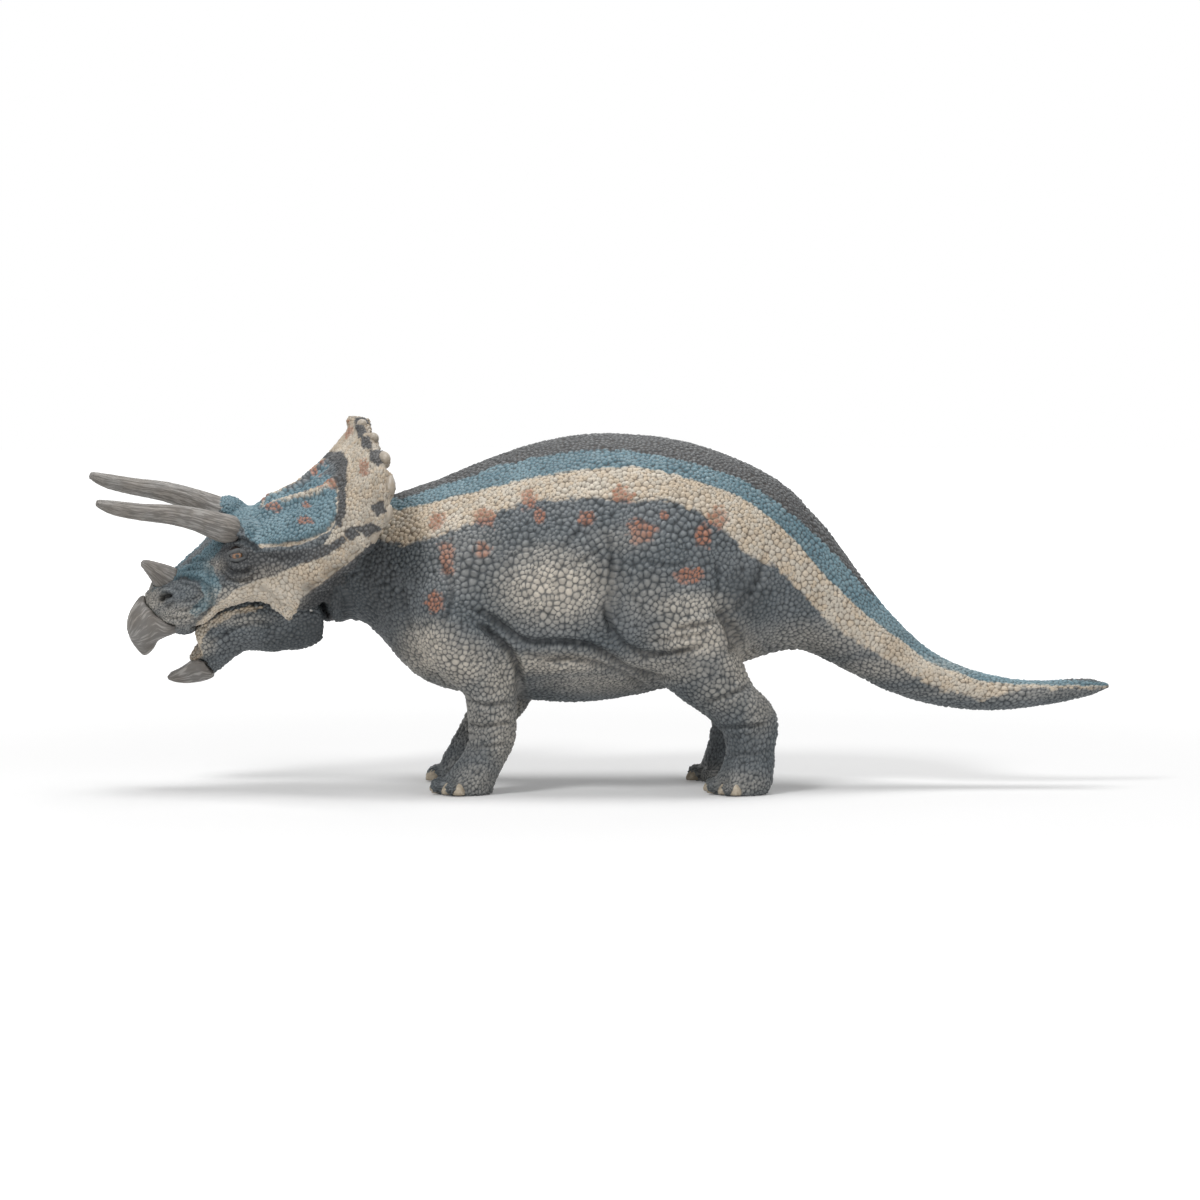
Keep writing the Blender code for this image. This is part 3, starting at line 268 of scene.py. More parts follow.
# Scale size at places on the photograph, in pixels
SCALE_SIZES = (
    (350, 600, 7.0), (400, 520, 6.5), (400, 600, 8.0), (440, 560, 9.5), (470, 500, 7.0), (450, 640, 9.0),
    (520, 470, 6.5), (520, 560, 10.0), (560, 610, 8.5), (600, 450, 6.5), (600, 510, 8.0), (640, 560, 10.0),
    (680, 520, 8.5), (700, 600, 9.0), (690, 650, 9.0), (720, 470, 7.0), (600, 690, 5.5), (540, 675, 6.0),
    (760, 540, 8.0), (780, 620, 7.5), (850, 600, 7.5), (900, 660, 6.8), (1000, 690, 6.0), (1100, 690, 4.8),
    (500, 700, 8.5), (490, 740, 7.6), (490, 785, 5.8), (720, 690, 8.8), (725, 740, 7.8), (730, 785, 5.8),
    (430, 740, 6.4), (650, 760, 6.4),
)
HEAD_SCALE_SIZES = (
    (160, 600, 3.6), (190, 600, 4.0), (200, 560, 5.0), (237, 556, 3.6), (245, 590, 5.6), (270, 530, 6.2),
    (300, 510, 6.8), (290, 570, 6.8), (330, 540, 7.0), (350, 500, 6.4), (360, 450, 5.8), (280, 610, 6.0),
    (220, 610, 5.4), (340, 620, 5.6), (230, 642, 8.0), (285, 640, 8.5), (215, 530, 4.6), (204, 652, 7.5),
)

# Paint bands along the back: at a column, the rows where dark meets blue, blue meets
# cream and cream meets the flank's grey
BACK_BANDS = (
    (340, 478, 498, 530), (400, 499, 510, 544), (440, 486, 500, 536), (462, 478, 494, 527), (495, 466, 486, 513),
    (530, 458, 478, 500), (571, 451, 471, 498), (590, 449, 469, 497), (630, 450, 466, 500), (660, 455, 470, 498),
    (705, 466, 483, 514), (735, 476, 494, 540), (751, 484, 503, 556), (775, 500, 520, 566), (800, 520, 545, 590),
    (828, 546, 578, 622), (867, 588, 615, 648), (932, 642, 663, 686), (980, 668, 680, 700), (1020, 676, 684, 688),
    (1110, 682, 686, 688),
)

# Painted spots: middle, half width and half height in pixels, and strength where it isn't 1
BODY_SPOTS = (
    (437, 523, 8, 10), (448, 558, 8, 17), (485, 518, 10, 10), (483, 550, 8, 8), (435, 602, 9, 10),
    (528, 498, 8, 10), (539, 516, 6, 8), (622, 495, 11, 9), (587, 518, 8, 8), (641, 530, 13, 12),
    (703, 535, 9, 12), (719, 518, 9, 12), (688, 575, 14, 8), (664, 514, 4, 5),
)
HEAD_SPOTS = (
    (305, 520, 8, 4), (364, 468, 5, 8), (332, 484, 4, 6), (316, 474, 5, 3), (272, 508, 7, 2.5), (306, 504, 5, 3),
    (322, 488, 4, 3),
)
PALE_PATCHES = (
    (555, 588, 54, 34, 1.0), (545, 560, 36, 16, 0.5), (430, 650, 30, 26, 1.0), (462, 664, 32, 24, 0.8),
    (500, 680, 22, 30, 0.7), (700, 636, 44, 22, 0.95), (742, 660, 24, 30, 0.7), (690, 606, 40, 14, 0.7),
    (555, 663, 60, 12, 0.8), (600, 682, 60, 12, 0.5), (660, 668, 60, 16, 0.5), (760, 705, 16, 26, 0.45),
    (725, 690, 30, 22, 0.35), (505, 730, 18, 40, 0.6), (478, 780, 24, 16, 0.35), (740, 784, 30, 12, 0.3),
    (820, 640, 70, 18, 0.4), (470, 560, 40, 40, 0.15), (650, 600, 30, 26, 0.25), (620, 540, 30, 14, 0.2),
    (478, 715, 30, 34, 0.4), (900, 668, 60, 12, 0.5), (1000, 692, 80, 8, 0.3),
)

# Painted shade: places on the body darkened where shade falls, in the hollows, on the neck under the frill and on the
# undersides: middle, half width and half height in pixels, and strength
SHADE_PATCHES = (
    (376, 600, 26, 56, 0.8), (340, 602, 24, 26, 1.0), (396, 650, 40, 16, 0.6), (746, 594, 20, 28, 0.9),
    (612, 600, 13, 42, 0.55), (735, 636, 16, 16, 0.8), (540, 655, 50, 6, 0.4), (520, 690, 10, 20, 0.6),
    (700, 668, 40, 8, 0.3), (640, 690, 70, 7, 0.3), (790, 655, 50, 9, 0.4), (765, 700, 12, 30, 0.35),
    (730, 740, 30, 26, 0.3), (470, 745, 14, 26, 0.25),
)

# Painted shade on the neck and head, and darker mottling in the frill's own paint, in the same columns
HEAD_SHADE_AND_MOTTLING = SHADE_PATCHES[:2] + (
    (352, 545, 16, 12, 0.6), (378, 495, 8, 18, 0.5), (362, 470, 8, 10, 0.5), (345, 520, 10, 12, 0.5),
    (330, 560, 18, 8, 0.5), (240, 566, 22, 9, 0.4), (168, 600, 9, 7, 0.3), (246, 524, 10, 14, 0.3),
    (368, 520, 12, 10, 0.6), (352, 440, 8, 10, 0.5), (386, 470, 7, 8, 0.5), (356, 456, 6, 6, 0.5),
    (362, 488, 7, 6, 0.5), (366, 502, 9, 5, 0.5), (345, 538, 8, 6, 0.4), (372, 528, 8, 5, 0.6),
    (366, 430, 6, 6, 0.5), (340, 462, 5, 12, 0.5), (349, 484, 5, 8, 0.5),
)

JAW_PALE_PATCHES = ((204, 646, 12, 10, 0.5), (240, 620, 30, 7, 0.4))

HEAD_PALE_PATCHES = ((240, 598, 34, 12, 0.8), (275, 580, 26, 14, 0.5), (150, 600, 16, 14, 0.6), (215, 566, 10, 8, 0.4),
                     (180, 616, 26, 12, 0.6), (280, 594, 22, 14, 0.9), (262, 588, 26, 12, 0.8))

JAW_SHADE_PATCHES = ((318, 632, 22, 20, 1.0), (285, 642, 40, 14, 0.75), (240, 655, 30, 8, 0.4))

# Painted fields on the head, as outlines in pixels
CREAM_FIELDS = (
    ((196, 626), (212, 608), (236, 590), (262, 577), (296, 566), (322, 545), (338, 524), (330, 498), (338, 470),
     (345, 440), (351, 412), (372, 428), (395, 470), (395, 520), (372, 545), (345, 570), (318, 590), (300, 600),
     (292, 628), (284, 622), (272, 606), (252, 602), (228, 608), (206, 622), (192, 634)),
    ((260, 544), (300, 540), (326, 527), (335, 513), (339, 514), (330, 531), (302, 544.5), (260, 548)),
    ((262, 505), (290, 499), (318, 491), (334, 482), (336, 487), (318, 496), (290, 504), (262, 509)),
)
BLUE_FIELDS = (
    ((214, 496), (226, 490), (242, 498), (250, 506), (248, 518), (238, 524), (224, 518)),
    ((250, 504), (262, 503), (280, 494), (300, 484), (318, 474), (332, 474), (334, 481), (312, 489), (290, 498),
     (270, 506)),
    ((238, 506), (262, 508), (290, 502), (318, 494), (335, 485), (337, 514), (328, 526), (320, 534), (300, 540),
     (272, 544), (256, 544), (246, 536), (240, 522)),
    ((150, 590), (165, 577), (185, 565), (205, 548), (214, 538), (226, 542), (218, 552), (208, 562), (216, 572),
     (222, 588), (214, 604), (196, 618), (190, 610), (204, 596), (200, 582), (182, 575), (160, 586)),
)
DARK_FIELDS = (
    ((222, 550), (238, 541), (256, 552), (300, 550), (330, 543), (342, 535), (346, 541), (326, 556), (300, 565),
     (270, 577), (246, 584), (226, 580), (216, 566)),
    ((334, 450), (343, 452), (347, 462), (345, 490), (346, 512), (340, 528), (334, 520), (338, 500), (335, 480)),
    ((347, 428), (355, 424), (360, 436), (352, 446), (346, 442)),
    ((359, 434), (370, 436), (373, 447), (362, 449)),
    ((370, 450), (384, 449), (387, 462), (377, 466), (369, 460)),
    ((369, 505), (383, 501), (387, 512), (376, 516)),
    ((352, 527), (372, 523), (384, 530), (366, 537)),
    ((341, 531), (352, 526), (360, 534), (350, 541)),
    ((300, 598), (330, 577), (352, 560), (372, 544), (396, 545), (402, 640), (330, 640), (298, 634)),
)

# Bone tip of the cheek spike: middle, half width and half height in pixels
CHEEK_BONE = ((290, 623, 6, 7),)

LIP_FIELD = ((190, 634), (206, 622), (228, 611), (252, 606), (262, 607), (256, 611), (232, 616), (212, 628), (201, 638),
             (201, 648), (203, 656), (194, 663), (184, 659), (190, 646))


def linear(code):
    """Linear colour of an sRGB hex value."""
    values = [int(code[i:i + 2], 16) / 255.0 for i in (1, 3, 5)]
    return tuple(v / 12.92 if v <= 0.04045 else ((v + 0.055) / 1.055) ** 2.4 for v in values)


# ---------------------------------------------------------------- view and sides

def view_axes():
    """The photograph's place, its right, up and forward directions."""
    up = Vector((0.0, math.sin(VIEW_HEIGHT_ANGLE), math.cos(VIEW_HEIGHT_ANGLE)))
    ahead = Vector((0.0, math.cos(VIEW_HEIGHT_ANGLE), -math.sin(VIEW_HEIGHT_ANGLE)))
    return VIEW_AIM - ahead * VIEW_DISTANCE, Vector((1.0, 0.0, 0.0)), up, ahead


def photo_place(points):
    """Pixels of points in the photograph."""
    eye, right, up, ahead = (np.array(v) for v in view_axes())
    ray = points - eye
    reach = PIXELS_PER_METRE * VIEW_DISTANCE / (ray @ ahead)
    half = PIXELS_ACROSS / 2.0
    return np.stack((half + (ray @ right) * reach, half - (ray @ up) * reach), axis=1)


def near_side(points, normals, middle):
    """Points and normals with the far half mirrored onto the near one."""
    place, axis = (np.array(v) for v in middle)
    side = (points - place) @ axis
    far = np.where(side > 0.0, 1.0, 0.0)[:, None]
    turned = points - 2.0 * far * side[:, None] * axis
    facing = normals - 2.0 * far * (normals @ axis)[:, None] * axis
    return turned, facing, side


def smooth_step(values, low, high):
    share = np.clip((values - low) / (high - low), 0.0, 1.0)
    return share * share * (3.0 - 2.0 * share)


# ---------------------------------------------------------------- meshes

def keep(data, name):
    """A new object of a mesh, a lamp or a camera, in the scene."""
    obj = bpy.data.objects.new(name, data)
    bpy.context.scene.collection.objects.link(obj)
    return obj


def bmesh_of(*meshes):
    """The faces of some meshes, to be worked on together."""
    work = bmesh.new()
    for mesh in meshes:
        work.from_mesh(mesh)
    return work


def mesh_of(work, name):
    """A new mesh of worked faces, which are freed."""
    mesh = bpy.data.meshes.new(name)
    work.to_mesh(mesh)
    work.free()
    return mesh


def tree_of(*meshes):
    """A search tree over some meshes."""
    work = bmesh_of(*meshes)
    tree = BVHTree.FromBMesh(work)
    work.free()
    return tree


def laid_along(middle, way):
    """The place and turn of a thing whose X axis lies along a way."""
    return Matrix.Translation(middle) @ way.to_track_quat("X", "Z").to_matrix().to_4x4()


def cad_mesh(names, grow, mounds=()):
    """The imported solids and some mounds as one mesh, each solid grown a little."""
    whole = bmesh.new()
    for name in names:
        solid = bmesh_of(frame["nodes"][name].data)
        bmesh.ops.remove_doubles(solid, verts=solid.verts, dist=0.01 * MM)
        solid.normal_update()
        for vert, move in [(vert, vert.normal * grow) for vert in solid.verts]:
            vert.co += move
        part = mesh_of(solid, name + "_grown")
        whole.from_mesh(part)
        bpy.data.meshes.remove(part)
    for middle, way, reach in mounds:
        bmesh.ops.create_icosphere(whole, subdivisions=4, radius=1.0,
                                   matrix=laid_along(middle, way) @ Matrix.Diagonal((*reach, 1.0)))
    return mesh_of(whole, "grown")


def straight_mounds(rows):
    """Mounds that lie along the figure, from a table in millimetres."""
    return [(Vector(middle) * MM, Vector((1.0, 0.0, 0.0)), [half * MM for half in reach]) for middle, reach in rows]


def root_mound(name, length, shift, halves):
    """The mound of skin that holds a horn's root."""
    points = places(frame["nodes"][name].data)
    middle = points.mean(axis=0)
    axis = np.linalg.svd(points - middle, full_matrices=False)[2][0]
    low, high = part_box("head")
    axis = axis * np.sign((np.array(low + high) / 2.0 - middle) @ axis)
    along = (points - middle) @ axis
    root = points[along > along.max() - length]
    radius = np.ptp(root, axis=0).max() / 2.0
    return Vector(root.mean(axis=0) + axis * shift * radius), Vector(axis), [half * radius for half in halves]


def changed(mesh, kind, **settings):
    """A mesh after one modifier."""
    obj = keep(mesh, "work")
    modifier = obj.modifiers.new("work", kind)
    for key, value in settings.items():
        setattr(modifier, key, value)
    depsgraph = bpy.context.evaluated_depsgraph_get()
    result = bpy.data.meshes.new_from_object(obj.evaluated_get(depsgraph))
    bpy.data.objects.remove(obj)
    bpy.data.meshes.remove(mesh)
    return result


def vectors_of(data, name):
    values = np.zeros(len(data) * 3)
    data.foreach_get(name, values)
    return values.reshape(-1, 3)


def places(mesh):
    return vectors_of(mesh.vertices, "co")


def facings(mesh):
    return vectors_of(mesh.vertex_normals, "vector")


def read_vectors(mesh, name):
    return vectors_of(mesh.attributes[name].data, "vector")


def set_places(mesh, values):
    mesh.vertices.foreach_set("co", values.ravel())
    mesh.update()


def links(mesh):
    values = np.zeros(len(mesh.edges) * 2, dtype=np.int64)
    mesh.edges.foreach_get("vertices", values)
    return values.reshape(-1, 2)


def neighbour_mean(values, pairs):
    """Mean of each vertex's neighbours, for a column or several."""
    count = len(values)
    columns = values.reshape(count, -1)
    share = np.bincount(pairs.ravel(), minlength=count)[:, None]
    total = np.stack([
        np.bincount(pairs[:, 0], column[pairs[:, 1]], count) + np.bincount(pairs[:, 1], column[pairs[:, 0]], count)
        for column in columns.T], axis=1)
    return (total / np.maximum(share, 1)).reshape(values.shape)


def smoothed(points, pairs, rounds, strength, hold=0.0):
    """Points moved towards their neighbours' mean, and partly back, so that thin forms keep their size."""
    for _ in range(rounds):
        points = points + strength * (neighbour_mean(points, pairs) - points)
        if hold:
            points = points - hold * strength * (neighbour_mean(points, pairs) - points)
    return points


def distances(points, name):
    """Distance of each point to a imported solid."""
    mesh = cad_mesh((name,), 0.0)
    tree = tree_of(mesh)
    bpy.data.meshes.remove(mesh)
    return np.array([tree.find_nearest(Vector(point))[3] for point in points])


# ---------------------------------------------------------------- sculpting

def line_reach(pixels, line):
    """Distance in pixels to a line, and how far along it the nearest place is, from 0 to 1."""
    best = np.full(len(pixels), 1e9)
    share = np.zeros(len(pixels))
    points = np.array(line, dtype=float)
    runs = np.linalg.norm(np.diff(points, axis=0), axis=1)
    starts = np.concatenate(([0.0], np.cumsum(runs)))
    for start, end, run, before in zip(points[:-1], points[1:], runs, starts):
        way = (end - start) / run
        along = np.clip((pixels - start) @ way, 0.0, run)
        away = np.linalg.norm(pixels - start - along[:, None] * way, axis=1)
        closer = away < best
        best = np.where(closer, away, best)
        share = np.where(closer, (before + along) / starts[-1], share)
    return best, share


def round_reach(pixels, column, row, half_x, half_y):
    """Squared distance from a round place's middle, in its own half sizes."""
    return ((pixels[:, 0] - column) / half_x) ** 2 + ((pixels[:, 1] - row) / half_y) ** 2


def folded(pixels, facing, folds, masses):
    """How far each vertex moves out for folds and masses, and how deep in a fold it is."""
    move = np.zeros(len(pixels))
    crease = np.zeros(len(pixels))
    sideways = smooth_step(-facing[:, 1], 0.05, 0.45)
    for width, depth, line in folds:
        away, share = line_reach(pixels, line)
        ends = smooth_step(share, 0.0, 0.18) * smooth_step(1.0 - share, 0.0, 0.18)
        groove = np.exp(-(away / width) ** 2)
        lip = np.exp(-((away - 2.1 * width) / (1.1 * width)) ** 2)
        weight = sideways * (0.15 + 0.85 * ends)
        move += weight * FOLD_GAIN * depth * (FOLD_LIP * lip - groove)
        # The crease later darkens the paint: partly wash in the fold and partly painted shade
        if depth > 0.0:
            crease = np.maximum(crease, weight * groove * min(1.0, depth / (0.9 * MM)))
    for column, row, half_x, half_y, rise in masses:
        move += sideways * rise * np.exp(-1.4 * round_reach(pixels, column, row, half_x, half_y))
    return move, crease


def size_field(pixels, table):
    """Scale size in metres, blended between the places where it is given."""
    total = np.zeros(len(pixels))
    weight = np.zeros(len(pixels))
    for column, row, size in table:
        near = 1.0 / (((pixels[:, 0] - column) ** 2 + (pixels[:, 1] - row) ** 2) + 60.0) ** 1.5
        total += near * size
        weight += near
    return total / weight / PIXELS_PER_METRE


def scale_seeds(points, sizes, chance):
    """Middles of the scales: one vertex to each small cube of its own size, coarser and finer in patches."""
    _, patch = np.unique(np.floor(points / SIZE_PATCH).astype(np.int64), axis=0, return_inverse=True)
    patchy = sizes * chance.uniform(*PATCH_SIZES, patch.max() + 1)[patch.ravel()]
    levels = np.round(np.log(patchy / patchy.min()) / math.log(SIZE_STEP)).astype(np.int64)
    level_size = patchy.min() * SIZE_STEP ** levels
    cubes = np.floor(points / (level_size[:, None] * SCALE_SPACING)).astype(np.int64)
    order = chance.permutation(len(points))
    keys = np.concatenate((levels[:, None], cubes), axis=1)[order]
    _, first = np.unique(keys, axis=0, return_index=True)
    return points[order[np.sort(first)]]


def scales_over(points, outward, sizes, seed):
    """The scales of a skin: their middles, how high each stands, a chance value and a lean for each."""
    chance = np.random.default_rng(seed)
    lifted = points + outward * SEED_LIFT
    seeds = scale_seeds(lifted, sizes, chance)
    sample = lifted[::3]
    owner = nearest_two(sample, seeds)[:, 0].astype(np.int64)
    count = np.maximum(np.bincount(owner, minlength=len(seeds)), 1)
    middle = np.stack([np.bincount(owner, column, len(seeds)) for column in sample.T], axis=1) / count[:, None]
    seeds = np.where((count > 1)[:, None], middle, seeds)
    size = len(seeds)
    height, tone = chance.uniform(0.5, 1.0, size), chance.uniform(0.0, 1.0, size)
    return seeds, height, tone, chance.uniform(-0.2, 0.2, (size, 3))


def nearest_two(points, seeds):
    """The two nearest seeds of each point, as number and distance, number and distance."""
    tree = KDTree(len(seeds))
    for index, seed in enumerate(seeds):
        tree.insert(seed, index)
    tree.balance()
    found = np.zeros((len(points), 4))
    for row, point in enumerate(points):
        near = tree.find_n(point, 2)
        found[row] = (near[0][1], near[0][2], near[1][1], near[1][2])
    return found


def scale_relief(points, outward, sizes, scales, depth_share):
    """Scales over a skin: how far each vertex sinks, how deep in a groove it is, and its scale's chance value."""
    seeds, height, chance, lean = scales
    lifted = points + outward * SEED_LIFT
    found = nearest_two(lifted, seeds)
    owner = found[:, 0].astype(np.int64)
    near, far = found[:, 1], found[:, 3]
    share = np.clip((far - near) / (0.72 * (far + near)), 0.0, 1.0)
    dome = 1.0 - (1.0 - share) ** 2.2
    width = np.minimum(far + near, 1.5 * sizes)
    tilt = np.sum((lifted - seeds[owner]) * lean[owner], axis=1)
    sink = depth_share * width * (0.85 - dome * height[owner]) + dome * tilt
    return sink, (1.0 - share) ** 2, chance[owner]


def outer_only(mesh):
    """The largest closed surface of a mesh."""
    work = bmesh_of(mesh)
    kept = set(max(islands(work), key=len))
    bmesh.ops.delete(work, geom=[face for face in work.faces if face not in kept], context="FACES")
    work.to_mesh(mesh)
    work.free()
    return mesh


def joined_skin(nodes, voxel, mounds=(), grow=SEAM_GROWTH):
    """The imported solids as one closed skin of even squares."""
    return outer_only(changed(cad_mesh(nodes, grow, mounds), "REMESH", mode="VOXEL", voxel_size=voxel))


def rounded_skin(mesh, rounds, soft=None):
    """A skin smoothed, more where soft is high, and divided once."""
    pairs = links(mesh)
    points = places(mesh)
    if soft is not None:
        soft = smoothed(soft[:, None], pairs, 4, 0.5)
        for _ in range(SOFT_ROUNDS):
            points = points + 0.6 * soft * (neighbour_mean(points, pairs) - points)
    set_places(mesh, smoothed(points, pairs, rounds, 0.5, 1.02))
    return changed(mesh, "SUBSURF", levels=1, subdivision_type="CATMULL_CLARK")


# ---------------------------------------------------------------- paint masks

def inside_reach(pixels, outline):
    """Signed distance in pixels to an outline, positive inside."""
    points = np.array(outline, dtype=float)
    away, _ = line_reach(pixels, list(points) + [points[0]])
    inside = np.zeros(len(pixels), dtype=bool)
    for start, end in zip(points, np.roll(points, -1, axis=0)):
        crosses = (start[1] > pixels[:, 1]) != (end[1] > pixels[:, 1])
        rise = end[1] - start[1] if end[1] != start[1] else 1.0
        column = start[0] + (pixels[:, 1] - start[1]) / rise * (end[0] - start[0])
        inside ^= crosses & (pixels[:, 0] < column)
    return np.where(inside, away, -away)


def mask(reach, softness):
    """A signed distance as a paint mask: one half at the edge."""
    return np.clip(0.5 + reach / (2.0 * softness), 0.0, 1.0)


def fields_mask(pixels, outlines, softness):
    result = np.zeros(len(pixels))
    for outline in outlines:
        result = np.maximum(result, mask(inside_reach(pixels, outline), softness))
    return result


def strongest(pixels, rows, fall):
    """The strongest of some round places at each pixel, each fading with its squared reach."""
    result = np.zeros(len(pixels))
    for column, row, half_x, half_y, *strength in rows:
        weight = fall(round_reach(pixels, column, row, half_x, half_y))
        result = np.maximum(result, (strength[0] if strength else 1.0) * weight)
    return result


def soft_fall(reach):
    return np.exp(-reach)


def spot_fall(reach):
    return np.clip(1.0 - 0.5 * np.sqrt(reach), 0.0, 1.0)


def flat_fall(reach):
    return np.exp(-0.9 * reach ** 1.5)


def write_attribute(mesh, name, *columns):
    """Vertex values that a material reads: one column, or two or three as a vector."""
    if len(columns) == 1:
        layer = mesh.attributes.new(name, "FLOAT", "POINT")
        layer.data.foreach_set("value", np.asarray(columns[0], dtype=np.float32))
    else:
        values = np.zeros((len(mesh.vertices), 3), dtype=np.float32)
        values[:, :len(columns)] = np.stack(columns, axis=1)
        layer = mesh.attributes.new(name, "FLOAT_VECTOR", "POINT")
        layer.data.foreach_set("vector", values.ravel())


# ---------------------------------------------------------------- nodes

def add_node(tree, kind, links_in=None, **settings):
    """A node with its settings, and its sockets linked or set by name or number."""
    node = tree.nodes.new(kind)
    for key, value in settings.items():
        setattr(node, key, value)
    for key, value in (links_in or {}).items():
        socket = node.inputs[key]
        if isinstance(value, bpy.types.NodeSocket):
            tree.links.new(value, socket)
        else:
            socket.default_value = value
    return node


def new_material(name):
    material = bpy.data.materials.new(name)
    material.use_nodes = True
    material.node_tree.nodes.clear()
    return material, material.node_tree


def finish_principled(tree, sockets):
    """The material's surface, with its sockets linked or set."""
    shader = add_node(tree, "ShaderNodeBsdfPrincipled", sockets)
    add_node(tree, "ShaderNodeOutputMaterial", {"Surface": shader.outputs[0]})


def colour(code):
    return linear(code) + (1.0,)


def mixed(tree, share, first, second, blend="MIX"):
    """Two colours mixed by a share."""
    node = add_node(tree, "ShaderNodeMix", {0: share, 6: first, 7: second}, data_type="RGBA", blend_type=blend)
    return node.outputs[2]


def sums(tree, operation, first, second=0.0, third=0.0):
    return add_node(tree, "ShaderNodeMath", {0: first, 1: second, 2: third}, operation=operation).outputs[0]


def eased(tree, value, low, high, to_low=0.0, to_high=1.0):
    node = add_node(tree, "ShaderNodeMapRange",
                    {"Value": value, "From Min": low, "From Max": high, "To Min": to_low, "To Max": to_high},
                    interpolation_type="SMOOTHSTEP")
    return node.outputs["Result"]


def place_in_mm(tree):
    """The object's own place, in millimetres."""
    place = add_node(tree, "ShaderNodeTexCoord").outputs["Object"]
    return add_node(tree, "ShaderNodeVectorMath", {0: place, 1: (1000.0, 1000.0, 1000.0)},
                    operation="MULTIPLY").outputs[0]


def noise(tree, place, size_mm, detail=3.0):
    """Noise whose grain is a size in millimetres."""
    return add_node(tree, "ShaderNodeTexNoise", {"Vector": place, "Scale": 1.0 / size_mm, "Detail": detail}).outputs[0]


def attribute(tree, name):
    return add_node(tree, "ShaderNodeAttribute", attribute_name=name).outputs["Vector"]


def bumped(tree, height, strength, rise_mm):
    """A normal that follows a height."""
    sockets = {"Strength": strength, "Distance": rise_mm * MM, "Height": height}
    return add_node(tree, "ShaderNodeBump", sockets).outputs[0]


def painted_vinyl():
    """Cast PVC, sprayed and brushed with matt acrylic paint and a dark wash. The
    wash stays in the grooves and folds, where its darkness is partly painted shade,
    and painted shade of the same colour darkens the shaded places. The tops of the
    scales are brushed paler, and the surface has a satin gloss on its worn tops."""
    material, tree = new_material("painted_pvc_vinyl")
    look = bpy.context.scene.dinosaur_paint

    def product(first, second):
        return sums(tree, "MULTIPLY", first, second)

    def blend(value, factor, other):
        return sums(tree, "MULTIPLY_ADD", value, factor, other)

    parts = []
    for name in ("relief", "paint", "marks", "mouth_shade_and_mottling"):
        parts.extend(add_node(tree, "ShaderNodeSeparateXYZ", {0: attribute(tree, name)}).outputs)
    # mouth is the mouth's paint; shade is painted shade, with the frill's darker mottling
    groove, chance, fold, dark, blue, cream, spot, bone, pale, mouth, shade, _ = parts
    place = place_in_mm(tree)
    cloudy = noise(tree, place, 9.0, 3.0)
    fine = noise(tree, place, 0.9, 4.0)
    blotchy = noise(tree, place, 2.6, 3.0)
    ragged = blend(blend(chance, 0.45, blotchy), 0.5, -0.36)

    # Sprayed coats, each with a ragged edge and clouds of a deeper colour
    tone = mixed(tree, eased(tree, cloudy, 0.35, 0.65), colour(look.flank), colour(look.flank_deep))
    clouds = eased(tree, blend(chance, 0.4, cloudy), 0.5, 0.9)
    for layer, main, deep in ((cream, look.cream, look.cream_warm), (blue, look.blue, look.blue_deep),
                              (dark, look.back, look.back_deep), (bone, look.bone, look.bone_deep)):
        edge = eased(tree, sums(tree, "ADD", layer, ragged), 0.34, 0.66)
        tone = mixed(tree, edge, tone, mixed(tree, clouds, colour(main), colour(deep)))

    # Spots and the inside of the mouth
    middle = eased(tree, sums(tree, "ADD", spot, chance), 0.7, 1.6)
    rust = mixed(tree, middle, colour(look.spot), colour(look.spot_deep))
    spotted = product(eased(tree, blend(ragged, 1.3, spot), 0.38, 0.68), eased(tree, groove, 0.1, 0.8, 0.92, 0.3))
    tone = mixed(tree, spotted, tone, rust)
    tone = mixed(tree, eased(tree, mouth, 0.3, 0.7), tone, colour(look.mouth))

    # Pale patches, a tone of its own for each scale, and paint brushed over the tops
    brushed = product(pale, eased(tree, blend(chance, 0.5, fine), 0.3, 0.9, 0.7, 1.0))
    brushed = product(brushed, eased(tree, groove, 0.15, 0.9, 1.0, 0.3))
    tone = mixed(tree, brushed, tone, colour(look.pale))
    tone = add_node(tree, "ShaderNodeHueSaturation",
                    {"Hue": 0.5, "Saturation": 1.0, "Value": eased(tree, chance, 0.0, 1.0, 0.86, 1.12),
                     "Color": tone}).outputs[0]
    streaked = product(eased(tree, groove, 0.05, 0.55, 1.0, 0.0), eased(tree, fine, 0.35, 0.62, 0.04, 0.20))
    tone = mixed(tree, streaked, tone, colour(look.brushed))

    # The darkening in grooves and folds, partly a dark wash and partly painted shade, and painted shade in the shaded
    # places
    warm = eased(tree, sums(tree, "ADD", cream, bone), 0.4, 0.7)
    wash = product(eased(tree, groove, 0.4, 0.95, 0.0, 0.74), blend(pale, -0.5, 1.0))
    wash = sums(tree, "MAXIMUM", wash, product(fold, 0.6))
    # The shade channel: painted shade, and on the frill the darker mottling of its own paint
    wash = sums(tree, "MAXIMUM", wash, product(shade, 0.62))
    tone = mixed(tree, wash, tone, mixed(tree, warm, colour(look.wash), colour(look.wash_warm)))
    rough = eased(tree, sums(tree, "ADD", fine, groove), 0.3, 1.2, 0.36, 0.66)
    finish_principled(tree, {"Base Color": tone, "Roughness": rough, "Normal": bumped(tree, fine, 0.4, 0.10),
                             "IOR": VINYL_IOR, "Specular IOR Level": 0.5})
    return material


